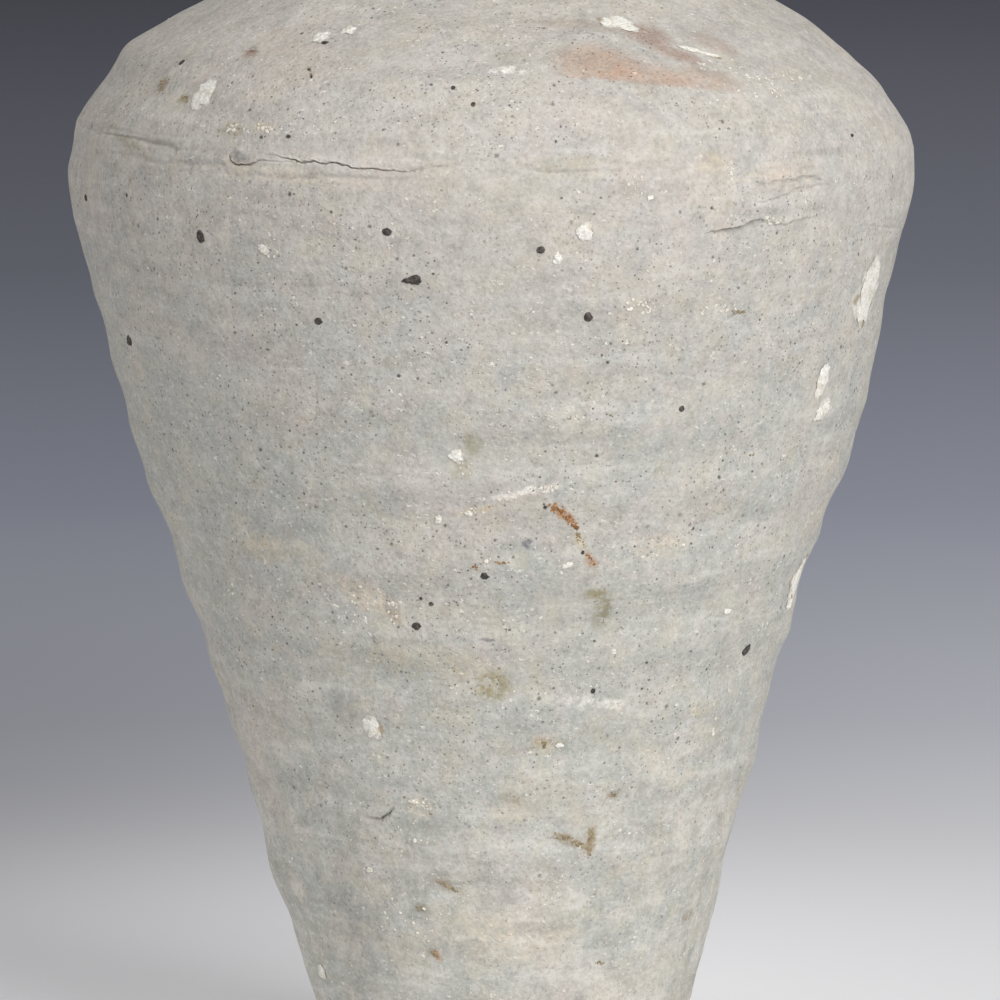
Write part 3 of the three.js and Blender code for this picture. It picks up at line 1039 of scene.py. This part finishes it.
spots = bmesh.new()
for i, (right, up, width, height, degrees) in enumerate(FRONT_SPOTS):
    spot(*unforeshortened(right, up, width, height), math.radians(degrees), i * SEED_STEP)
chance = random.Random(11)
for i in range(BACK_SPOTS):
    azimuth = math.radians(chance.uniform(8, 172))
    point, facing = unseen(azimuth, chance.uniform(30, 176) * MM)
    width = chance.choice([0.6, 0.7, 0.8, 1.0, 1.2, 1.5]) * MM
    height = width * chance.uniform(0.8, 1.5)
    spot(point, facing, width, height, chance.uniform(0, 3), BACK_SEED + i * SEED_STEP)


def iron():
    """Dark melted iron with a slight gloss."""
    material, recipe, place = matt("iron_blister", roughness=0.55, specular=0.5)
    cloud = recipe.clouds(place, 0.5 * MM, 2)
    tone = recipe.lay(recipe.fade(cloud, 0.4, 0.7), colour(46, 42, 41), colour(92, 80, 72))
    recipe.coat(tone, cloud, 0.5, 0.15 * MM)
    return material


finish(spots, "iron_spots", "jar", iron(), [])

# Lime crusts
# Thin flakes of white lime and mortar left on the skin, and among them scattered crumbs of the same. Along the
# thin edges where flakes and crumbs meet the skin, patches of brown are partly dirt and partly painted shadow.
CRUST_RISE = 0.28 * MM
CRUST_SLOPE = 0.3  # the most that a flake rises, as a share of its smaller side
CRUST_LEVEL = 4
FRONT_ROUGH = 0.24
BACK_ROUGH = 0.18
CRUMB_ROUGH = 0.3
CRUST_SEED_STEP = 5.3
BACK_CRUST_SEED = 200
CRUMB_SEED_STEP = 1.7
BACK_CRUSTS = 15
BACK_CRUMBS = 180
# Brown for the thin edges of lime, partly dirt and partly painted shadow where the lime meets the skin
DIRT_AND_PAINTED_SHADOW = colour(148, 127, 96)
STRAW_VEIN = colour(206, 197, 175)

# Right, up, width and height as seen, in mm, and the turn in degrees
FRONT_CRUSTS = [
    (-48.5, 66.7, 3.3, 4.5, 10),
    (-29.5, 76.2, 2.6, 1.6, 20),
    (-24.8, 77.3, 2.2, 1.2, 25),
    (19.6, 78.3, 6.0, 1.7, -28),
    (32.9, 73.7, 5.6, 0.9, -22),
    (14.0, 44.1, 2.6, 2.7, 0),
    (9.5, 39.8, 1.6, 1.8, 0),
    (60.4, 33.8, 3.9, 9.8, -13),
    (61.9, 38.2, 1.0, 3.4, -22),
    (53.1, 19.9, 2.0, 5.0, -8),
    (53.1, 14.8, 2.4, 3.0, 20),
    (-7.2, 7.3, 2.2, 2.1, 0),
    (-10.1, -3.2, 1.2, 1.3, 0),
    (-20.9, -37.4, 2.9, 3.5, 12),
    (11.1, -10.6, 2.2, 0.9, 22),
    (-29.3, -77.5, 1.2, 2.2, 10),
    (-5.2, -2.2, 1.4, 0.9, -20),
    (48.6, -13.3, 1.8, 7.5, -12),
    (47.6, -17.0, 1.2, 2.2, 5),
    (-2.3, -10.1, 0.8, 0.8, 0),
    (24.7, 49.7, 0.9, 0.9, 0),
    (21.4, 31.4, 1.1, 0.6, 0),
    (-14.2, -49.6, 1.6, 0.8, -8),
    (-21.4, -60.8, 1.1, 0.9, 0),
    (37.3, -18.3, 1.3, 0.9, 10),
    (9.8, -40.3, 1.4, 0.9, 0),
    (-38.9, 41.2, 1.7, 1.2, -30),
]

# Right, up, width and height of the patch as seen, in mm, how many crumbs and how large
CRUMBS = [
    (-17.4, -18.0, 2.6, 4.6, 24, 0.7),
    (-21.5, -16.0, 8.0, 4.0, 18, 0.5),
    (-43.8, 61.0, 3.4, 1.8, 12, 0.6),
    (-38.8, 61.2, 3.4, 1.8, 12, 0.7),
    (-12.6, -50.6, 3.2, 2.2, 14, 0.5),
    (23.0, 32.0, 5.0, 3.0, 16, 0.8),
    (36.5, 31.0, 7.0, 2.4, 16, 0.7),
    (45.0, 68.5, 14.0, 5.0, 50, 0.7),
    (52.0, 64.5, 6.0, 5.0, 14, 0.6),
    (36.0, 72.0, 8.0, 3.0, 14, 0.6),
    (7.5, 2.0, 7.0, 1.0, 18, 0.7),
    (0.0, 0.3, 9.0, 0.8, 16, 0.6),
    (-5.5, 5.2, 5.0, 3.0, 12, 0.5),
    (-38.2, 40.8, 3.6, 2.2, 12, 0.7),
    (45.5, 46.0, 4.6, 1.2, 12, 0.7),
    (38.0, 53.5, 5.0, 3.0, 12, 0.6),
    (23.0, 52.0, 4.0, 4.0, 8, 0.6),
    (-44.4, -15.5, 1.6, 4.0, 8, 0.7),
    (-28.0, -62.0, 5.0, 20.0, 12, 0.5),
    (-12.0, -69.0, 10.0, 10.0, 18, 0.6),
    (-14.0, -56.0, 14.0, 6.0, 14, 0.6),
    (-17.5, -66.0, 8.0, 12.0, 12, 0.5),
    (35.4, -36.0, 1.4, 6.0, 12, 0.7),
    (24.0, -58.0, 8.0, 26.0, 8, 0.4),
    (-5.0, -1.8, 7.0, 0.9, 14, 0.6),
    (4.0, 1.2, 9.0, 1.0, 12, 0.5),
    (10.0, -30.0, 24.0, 12.0, 16, 0.5),
    (-44.0, 20.0, 8.0, 3.0, 10, 0.5),
    (11.0, 13.6, 16.0, 1.2, 12, 0.5),
]

crusts = bmesh.new()
crumbs = bmesh.new()
for bm in (crusts, crumbs):
    bm.verts.layers.float.new("rim")


def crust(bm, point, facing, width, height, turned, level, rough, seed):
    """Adds a flake whose edge is thin, and marks how near each point is to that edge."""
    rim_layer = bm.verts.layers.float["rim"]
    rise = min(CRUST_RISE, CRUST_SLOPE * min(width, height))
    for vert in blister(bm, point, facing, width, height, turned, rise, level, rough, seed):
        nearest, normal = on_wall(vert.co)
        vert[rim_layer] = 1 - min(1, max(0, (vert.co - nearest).dot(normal)) / rise)


def crumb(point, facing, size, seed):
    """Adds one small crumb of any shape."""
    slender = size * chance.uniform(0.35, 1)
    crust(crumbs, point, facing, size, slender, chance.uniform(0, 3), 1, CRUMB_ROUGH, seed)


for i, (right, up, width, height, degrees) in enumerate(FRONT_CRUSTS):
    true_size = unforeshortened(right, up, width, height)
    crust(crusts, *true_size, math.radians(degrees), CRUST_LEVEL, FRONT_ROUGH, i * CRUST_SEED_STEP)
chance = random.Random(23)
for i in range(BACK_CRUSTS):
    point, facing = unseen(math.radians(chance.uniform(10, 170)), chance.uniform(24, 180) * MM)
    width = chance.uniform(1.5, 4.5) * MM
    height = width * chance.uniform(0.5, 2)
    turned = chance.uniform(0, 3)
    seed = BACK_CRUST_SEED + i * CRUST_SEED_STEP
    crust(crusts, point, facing, width, height, turned, CRUST_LEVEL, BACK_ROUGH, seed)
for right, up, width, height, count, size in CRUMBS:
    for i in range(count):
        reach = chance.uniform(0, 1) ** 0.7 / 2
        angle = chance.uniform(0, math.tau)
        point, facing = seen(right + width * reach * math.cos(angle), up + height * reach * math.sin(angle))
        crumb(point, facing, size * MM * chance.uniform(0.3, 1.4), i * CRUMB_SEED_STEP)
for i in range(BACK_CRUMBS):
    point, facing = unseen(math.radians(chance.uniform(0, 180)), chance.uniform(15, 182) * MM)
    crumb(point, facing, chance.uniform(0.25, 0.9) * MM, i * CRUMB_SEED_STEP)


def lime(name, dark, light):
    """Rough and chalky with straw-coloured veins, clay-coloured where it thins, with brown there: dirt and
    painted shadow.
    """
    material, recipe, place = matt(name, roughness=0.95, specular=0.2)
    grain = recipe.clouds(place, 0.4 * MM, 3, 0.7)
    veins = recipe.clouds(place, 1.3 * MM, 4, 0.65)
    dirt_and_shadow = recipe.fade(recipe.clouds(place, 2.5 * MM, 3), 0.52, 0.64)
    edge = recipe.step("Attribute", {"attribute_name": "rim"}, {}, "Fac")
    tone = recipe.lay(recipe.fade(grain, 0.35, 0.6), dark, light)
    tone = recipe.wash(tone, veins, 0.5, 0.64, 0.8, STRAW_VEIN)
    tone = recipe.wash(tone, edge, 0.4, 0.9, 0.7, WARM_CLAY)
    # Brown along the thin edges, partly dirt and partly painted shadow where the lime meets the skin
    tone = recipe.lay(recipe.product(recipe.product(dirt_and_shadow, recipe.fade(edge, 0.3, 0.8)), 0.7), tone, DIRT_AND_PAINTED_SHADOW)
    recipe.coat(tone, grain, 0.7, 0.3 * MM)
    return material


lime_crust = lime("lime_crust", colour(212, 208, 197), colour(242, 239, 232))
lime_crumb = lime("lime_crumb", colour(211, 205, 191), colour(234, 229, 217))
finish(crusts, "lime_crusts", "jar", lime_crust, [])
finish(crumbs, "lime_crumbs", "jar", lime_crumb, [])

# Rust and dirt
# Rust ran down the middle of the jar from something that once leaned on it, and dried there as a crumbly
# streak. Here and there brown dirt has dried on the skin in the same way.
GRAINS_PER_MM = 14
GRAIN_SIZES = (0.18, 0.55)
GRAIN_RISE = 0.3  # of a grain's size
GRAIN_ROUGH = 0.3

# Right, up, in mm of the picture, and how wide the streak is there
RUST_RUNS = [
    [
        (8.3, -0.9, 1.0), (8.9, -1.3, 1.2), (9.8, -1.6, 0.5), (10.8, -2.4, 0.8), (11.6, -3.5, 1.2),
        (12.6, -4.5, 0.7),
    ],
    [(14.4, -8.9, 0.6), (15.0, -9.9, 0.6), (15.6, -10.9, 0.4)],
    [(-4.4, -10.9, 0.4), (-3.8, -11.3, 0.4)],
    [(-0.9, -10.2, 0.2), (0.3, -10.4, 0.4), (1.4, -10.3, 0.2)],
]
DIRT_RUNS = [
    [(-31.6, 71.3, 0.5), (-31.2, 70.4, 0.3), (-31.1, 69.7, 0.5)],
    [(12.6, -4.6, 0.6), (13.0, -6.3, 0.7), (13.2, -6.6, 0.7)],
    [(13.8, -7.5, 0.5), (14.0, -7.8, 0.4)],
    [(14.1, -6.7, 0.12), (16.3, -6.5, 0.14), (18.1, -6.3, 0.06)],
    [(8.7, -55.2, 0.9), (9.8, -55.4, 0.7), (11.6, -55.8, 0.7), (13.4, -56.8, 0.7), (14.5, -57.2, 0.8)],
    [(15.4, -53.9, 1.2), (15.0, -55.3, 1.1), (14.8, -56.6, 0.6), (14.6, -58.6, 0.6)],
    [(-10.3, -62.7, 0.4), (-9.2, -63.3, 0.5), (-7.1, -64.4, 0.3)],
    [(-13.6, -66.8, 0.7), (-13.0, -67.2, 0.7)],
    [(-11.0, -74.4, 0.4), (-10.2, -75.4, 0.6)],
    [(-12.4, -50.3, 0.4), (-11.5, -50.8, 0.4), (-11.4, -51.6, 0.3)],
    [(6.5, -39.6, 0.5), (7.4, -39.8, 0.6), (7.2, -41.0, 0.3)],
    [(15.8, -76.1, 0.4), (17.0, -76.2, 0.4)],
    [(18.0, -48.5, 0.6), (19.0, -48.6, 0.4)],
    [(17.6, 14.1, 0.3), (18.4, 13.9, 0.4)],
    [(11.2, 13.5, 0.3), (11.9, 13.4, 0.3)],
    [(-52.4, 66.3, 0.7), (-51.5, 65.9, 0.7)],
    [(-55.7, 69.2, 0.5), (-55.5, 67.0, 0.6)],
    [(-15.9, -48.7, 0.4), (-15.6, -48.9, 0.3)],
    [(59.1, 30.3, 0.5), (59.3, 29.9, 0.5)],
    [(60.6, 37.6, 0.4), (60.3, 37.0, 0.3)],
    [(47.4, -16.1, 0.6), (47.6, -16.5, 0.6)],
    [(38.2, 31.0, 0.4), (39.6, 30.9, 0.5), (40.5, 31.1, 0.3)],
    [(41.0, 7.4, 0.4), (41.7, 7.6, 0.4)],
]
chance = random.Random(31)


def dried(name, runs, dark, light):
    """A piece made of many small grains stuck to the skin along some runs, in earthy colours."""
    grains = bmesh.new()
    for run in runs:
        for (x0, y0, start), (x1, y1, end) in zip(run, run[1:]):
            length = math.hypot(x1 - x0, y1 - y0)
            for i in range(math.ceil(length * max(start, end) * GRAINS_PER_MM)):
                share = chance.random()
                spread = (start + (end - start) * share) / 2
                along = (x0 + (x1 - x0) * share, y0 + (y1 - y0) * share)
                aside = (chance.uniform(-spread, spread), chance.uniform(-spread, spread))
                point, facing = seen(along[0] + aside[0], along[1] + aside[1])
                size = min(chance.uniform(*GRAIN_SIZES), 2.5 * spread) * MM
                slender = size * chance.uniform(0.5, 1)
                turned = chance.uniform(0, 3)
                rise = size * GRAIN_RISE
                blister(grains, point, facing, size, slender, turned, rise, 1, GRAIN_ROUGH, i)
    material, recipe, place = matt(name, roughness=0.95, specular=0.2)
    tone = recipe.lay(recipe.fade(recipe.clouds(place, 0.8 * MM, 3, 0.7), 0.35, 0.65), dark, light)
    recipe.coat(tone, recipe.clouds(place, 0.3 * MM, 2), 0.5, 0.1 * MM)
    finish(grains, name, "jar", material, [])


dried("rust_streak", RUST_RUNS, colour(126, 88, 56), colour(182, 134, 88))
dried("dried_dirt", DIRT_RUNS, colour(122, 108, 82), colour(170, 156, 126))

# Stains
# What touched the jar has soaked into its skin as olive and brown stains and grey smears; the brown above the
# gouge is partly painted shade in its hollow and curl. High on the shoulder the flame of the kiln left an
# orange flush with a sharp lower edge.
OLIVE = colour(148, 139, 108)
BROWN = colour(138, 118, 92)
RUSTY = colour(170, 130, 94)
FLUSH = colour(180, 160, 143)
DARK_FLUSH = colour(160, 138, 125)
GREY = colour(130, 129, 126)
SLATE = colour(120, 121, 124)
STRAW = colour(197, 186, 160)
BEIGE = colour(206, 195, 175)
CHALK = colour(229, 226, 217)
MEAN_CLAY = colour(186, 184, 176)
STAIN_DEPTH = 5 * MM

# Right, up, width and height as seen, in mm, the turn in degrees, colour and strength
FRONT_STAINS = [
    (15.9, -15.4, 4.6, 2.2, 0, OLIVE, 0.9),
    (16.6, -18.4, 3.8, 7.2, 0, OLIVE, 0.6),
    (17.4, -17.6, 1.6, 5.6, 0, OLIVE, 0.5),
    (10.4, -2.4, 6.4, 2.0, -42, RUSTY, 0.9),
    (13.2, -6.4, 2.2, 4.4, 20, STRAW, 0.8),
    (15.0, -9.9, 1.6, 4.0, 30, RUSTY, 0.7),
    (12.2, -10.8, 1.8, 1.2, 20, OLIVE, 0.6),
    (-1.0, -30.4, 7.0, 6.0, 0, OLIVE, 0.8),
    (-12.0, -27.0, 26.0, 7.0, -6, STRAW, 0.4),
    (-4.6, 9.3, 3.6, 5.0, 0, OLIVE, 0.6),
    (-6.6, 5.0, 5.0, 4.4, 0, OLIVE, 0.5),
    (7.4, -40.4, 6.0, 3.2, 0, STRAW, 0.6),
    (6.9, -39.8, 2.4, 2.0, 0, BROWN, 0.35),
    (11.6, -56.0, 8.0, 2.2, -18, BROWN, 0.65),
    (15.0, -56.0, 2.2, 5.6, -8, BROWN, 0.65),
    (-26.0, -34.3, 6.0, 8.0, 0, GREY, 0.45),
    (-55.6, 68.1, 2.0, 3.6, 0, BROWN, 0.8),
    (-51.9, 66.1, 2.4, 2.0, 0, OLIVE, 0.9),
    (-41.1, 73.5, 3.0, 2.2, 0, DARK_FLUSH, 1.0),
    (-40.6, 74.1, 1.6, 1.2, 0, GREY, 1.0),
    (-8.8, -63.5, 6.0, 2.2, -28, BROWN, 0.5),
    (-13.3, -67.0, 2.6, 2.0, 0, BROWN, 0.6),
    (-10.6, -74.9, 3.0, 1.8, -50, RUSTY, 0.7),
    (4.5, -7.1, 2.4, 1.5, 8, SLATE, 1.0),
    (-2.1, -23.0, 2.8, 1.1, 0, SLATE, 0.9),
    (-21.8, -16.0, 14.0, 5.0, -32, BEIGE, 0.8),
    (-17.6, -18.0, 3.0, 6.0, 15, BROWN, 0.45),
    (-44.0, 60.9, 4.6, 2.6, 0, OLIVE, 0.7),
    (-38.8, 61.2, 4.4, 2.4, 0, STRAW, 0.8),
    (3.6, 1.2, 16.0, 1.6, 12, CHALK, 0.8),
    (-3.5, -1.6, 9.0, 1.2, 10, STRAW, 0.7),
    (-38.6, -8.2, 10.0, 6.0, 0, STRAW, 0.55),
    # Brown above the gouge: partly a stain, partly painted shade in the hollow and the curl there
    (37.4, 48.2, 3.4, 2.6, 20, BROWN, 0.4),
    (26.2, -7.3, 12.0, 5.0, 0, BEIGE, 0.5),
    (-13.0, -50.6, 6.0, 4.0, 0, BEIGE, 0.7),
    (1.6, -49.0, 5.0, 2.4, 0, OLIVE, 0.45),
    (2.2, -51.4, 9.0, 4.4, 0, STRAW, 0.4),
    (18.5, -48.6, 2.4, 1.6, 0, BROWN, 0.6),
    (30.9, -68.6, 2.2, 3.2, 0, BROWN, 0.6),
    (32.8, -34.2, 4.0, 3.4, 0, STRAW, 0.6),
    (2.0, -72.0, 22.0, 10.0, 0, BEIGE, 0.3),
    (-23.0, -71.0, 14.0, 24.0, 0, GREY, 0.3),
    (18.0, -33.6, 7.0, 2.6, -6, CHALK, 0.9),
    (12.5, -33.0, 8.0, 2.4, -4, CHALK, 0.4),
    (1.3, 70.6, 6.6, 1.7, 0, CHALK, 1.0),
    (1.1, 72.7, 6.4, 3.6, 0, OLIVE, 0.3),
    (20.0, 15.2, 30.0, 2.2, 0, CHALK, 0.25),
]

# The flush, as its body, its upper brown line and its dark band
FLUSH_STAINS = [
    (16.1, 71.6, 16.0, 9.5, 0, FLUSH, 0.95),
    (24.5, 70.0, 14.0, 6.0, -8, FLUSH, 0.5),
    (31.5, 68.9, 17.0, 4.6, -10, FLUSH, 0.65),
    (12.5, 78.4, 18.0, 1.7, -12, BROWN, 0.3),
    (24.6, 76.4, 8.0, 4.0, -38, DARK_FLUSH, 0.85),
    (29.5, 73.2, 9.0, 3.0, -30, DARK_FLUSH, 0.75),
    (35.0, 70.0, 10.0, 2.4, -24, DARK_FLUSH, 0.45),
    (35.4, 75.0, 8.0, 3.4, -40, DARK_FLUSH, 0.5),
]
FLUSH_EDGE = ((15.0, 69.2), (42.0, 66.5))  # two points of the lower edge

SEAM_STAINS = [
    (35.0, 55.3, 7.0, 4.4, 0, STRAW, 0.4),
    (46.0, 50.5, 18.0, 6.0, 8, BEIGE, 0.5),
    # Brown above the gouge: partly a stain, partly painted shade in the hollow and the curl there
    (38.0, 49.5, 4.0, 3.0, 20, BROWN, 0.35),
    (10.5, 55.5, 16.0, 2.6, 0, OLIVE, 0.3),
    (-62.0, 59.6, 12.0, 1.6, -12, OLIVE, 0.5),
    (-42.8, 56.3, 3.4, 2.6, 0, GREY, 0.7),
    (-30.0, 52.5, 50.0, 3.0, -2, BEIGE, 0.35),
]


def soaked_in(material):
    """What stains start from: a recipe, the ragged place, the patches where they took, and the clay's tone."""
    recipe = Recipe(material.node_tree)
    place = recipe.step("TexCoord", {}, {}, "Object")
    soaked = recipe.ragged(recipe.ragged(place, 2.4 * MM, 0.9 * MM), 0.7 * MM, 0.4 * MM)
    broken = recipe.fade(recipe.clouds(place, 1.3 * MM, 3, 0.65), 0.32, 0.58)
    tone = material.node_tree.nodes["Principled BSDF"].inputs["Base Color"].links[0].from_socket
    return recipe, soaked, broken, tone


def stain_mask(recipe, soaked, point, facing, width, height, turned, depth=STAIN_DEPTH):
    """1 in the middle of a stain and 0 outside it, with a ragged edge."""
    level, upwards = along_wall(facing)
    sideways = level * math.cos(turned) + upwards * math.sin(turned)
    frame = Matrix((sideways, -facing, facing.cross(sideways))).transposed()
    size = (width / 2, depth, height / 2)
    inputs = {"Vector": soaked, "Location": point, "Rotation": frame.to_euler(), "Scale": size}
    local = recipe.step("Mapping", {"vector_type": "TEXTURE"}, inputs)
    return recipe.fade(recipe.length(local), 1.15, 0.4)


def above(recipe, soaked, first, second):
    """1 above an edge of the front that runs through two points of the picture, and 0 below it."""
    ends = [seen(*spot)[0] for spot in (first, second)]
    across = (ends[1] - eye).cross(ends[0] - eye).normalized()
    across = -across if across.z < 0 else across
    reach = recipe.step("VectorMath", {"operation": "DOT_PRODUCT"}, {0: soaked, 1: across}, "Value")
    level = ends[0].dot(across)
    return recipe.fade(reach, level - 0.1 * MM, level + 0.3 * MM)


def soak(recipe, mask, tone, tint):
    """Gives mean clay a tint where the mask is 1. The clay's grain and specks show through."""
    share = [channel / clay for channel, clay in zip(tint, MEAN_CLAY)]
    return recipe.lay(mask, tone, share, "MULTIPLY")


def stain(recipe, soaked, cover, tone, rows):
    """Lays a table of stains over a tone."""
    for right, up, width, height, degrees, tint, strength in rows:
        true_size = unforeshortened(right, up, width, height)
        mask = stain_mask(recipe, soaked, *true_size, math.radians(degrees))
        tone = soak(recipe, recipe.product(recipe.product(mask, strength), cover), tone, tint)
    return tone


recipe, soaked, broken, tone = soaked_in(luting_clay)
recipe.paint(stain(recipe, soaked, broken, tone, SEAM_STAINS))

recipe, soaked, broken, tone = soaked_in(stoneware)
tone = stain(recipe, soaked, broken, tone, FRONT_STAINS)
whole = recipe.sum(recipe.product(broken, 0.45), 0.55)
tone = stain(recipe, soaked, recipe.product(whole, above(recipe, soaked, *FLUSH_EDGE)), tone, FLUSH_STAINS)
chance = random.Random(47)
for tint in [OLIVE, BROWN, BEIGE, GREY, FLUSH, CHALK, OLIVE, BEIGE, BROWN]:
    point, facing = unseen(math.radians(chance.uniform(-5, 185)), chance.uniform(25, 175) * MM)
    size = (chance.uniform(2.5, 9) * MM, chance.uniform(1.5, 5) * MM)
    mask = stain_mask(recipe, soaked, point, facing, *size, chance.uniform(-0.6, 0.6))
    tone = soak(recipe, recipe.product(recipe.product(mask, broken), chance.uniform(0.4, 0.75)), tone, tint)
recipe.paint(tone)

# Where the flame licked the crown on the right, few iron specks show.
BARE_PLACE = (46, 73)  # right and up, in mm of the picture
BARE_SIZE = (62 * MM, 42 * MM)
BARE_DEPTH = 28 * MM
BARE_LOSS = 0.8  # how much fainter the specks are there
bare = stain_mask(recipe, soaked, *seen(*BARE_PLACE), *BARE_SIZE, 0, BARE_DEPTH)
left = recipe.sum(1, recipe.product(bare, BARE_LOSS), "SUBTRACT")
clay = next(node for node in stoneware.node_tree.nodes if node.type == "GROUP")
stoneware.node_tree.links.new(left, clay.inputs["Specks"])

# Floor
# A plain pale floor with a painted fall-off of the light in its colour: pale near the jar and blue grey in the
# distance, all round the jar alike. A painted shade makes it a little darker on the left.
FLOOR_RADIUS = 8

# How far from the jar's axis, in metres, and the tone there, with the fall-off of the light painted in
PAINTED_FALLOFF_TONES = [
    (0.10, colour(250, 250, 251)),
    (0.28, colour(218, 218, 221)),
    (0.42, colour(197, 198, 205)),
    (0.80, colour(163, 167, 180)),
    (1.40, colour(132, 135, 147)),
    (2.80, colour(91, 91, 102)),
]
SHADED_LIMITS = (-0.12, 0.14)  # from the left to the right of the jar's axis
SHADED_START = (0.16, 0.36)  # how far from the jar, whose own shadow darkens the nearer floor
SHADED_END = (0.4, 0.75)  # where the shade grows weaker again
SHADED_LOSS = 0.42  # how much weaker it is beyond that
SHADED_TONE = colour(206, 206, 208)

ground = bmesh.new()
bmesh.ops.create_circle(ground, cap_ends=True, segments=128, radius=FLOOR_RADIUS)
mesh = bpy.data.meshes.new("floor")
ground.to_mesh(mesh)
ground.free()
floor = bpy.data.objects.new("floor", mesh)
bpy.context.collection.objects.link(floor)
material, recipe, place = matt("floor", roughness=0.9, specular=0.1)
distance = recipe.length(place)
# Painted fall-off of the light: the floor's tone darkens with distance from the jar
tone = PAINTED_FALLOFF_TONES[0][1]
for (near, _), (far, shade) in zip(PAINTED_FALLOFF_TONES, PAINTED_FALLOFF_TONES[1:]):
    reached = recipe.step("MapRange", {}, {"Value": distance, "From Min": near, "From Max": far})
    tone = recipe.lay(reached, tone, shade)
# Painted shade: the floor is darker on the left, from where the jar's own shadow ends
shaded = recipe.fade(recipe.part(place, "X"), SHADED_LIMITS[1], SHADED_LIMITS[0])
shaded = recipe.product(shaded, recipe.fade(distance, *SHADED_START))
weaker = recipe.product(recipe.fade(distance, *SHADED_END), SHADED_LOSS)
shaded = recipe.product(shaded, recipe.sum(1, weaker, "SUBTRACT"))
recipe.paint(recipe.lay(shaded, tone, SHADED_TONE, "MULTIPLY"))
mesh.materials.append(material)

# Light
# A large soft lamp in front on the right and above, a weaker one on the left, and an even pale surround.
JAR_MIDDLE = Vector((0, 0, 0.11))

# Name, place, the side of the square lamp in metres and its power in watts
LAMPS = [
    ("key", Vector((0.78, -1.15, 0.8)), 0.9, 20),
    ("fill", Vector((-1.3, -0.9, 0.7)), 1.0, 5.4),
]
SURROUND = colour(180, 180, 181)

for name, place, size, power in LAMPS:
    lamp = bpy.data.lights.new(name, "AREA")
    lamp.size = size
    lamp.energy = power
    holder = bpy.data.objects.new(name, lamp)
    holder.location = place
    holder.rotation_euler = (JAR_MIDDLE - place).to_track_quat("-Z", "Y").to_euler()
    bpy.context.collection.objects.link(holder)
world = bpy.data.worlds.new("surround")
world.use_nodes = True
world.node_tree.nodes["Background"].inputs["Color"].default_value = SURROUND
bpy.context.scene.world = world
bpy.context.scene.view_settings.view_transform = "Standard"
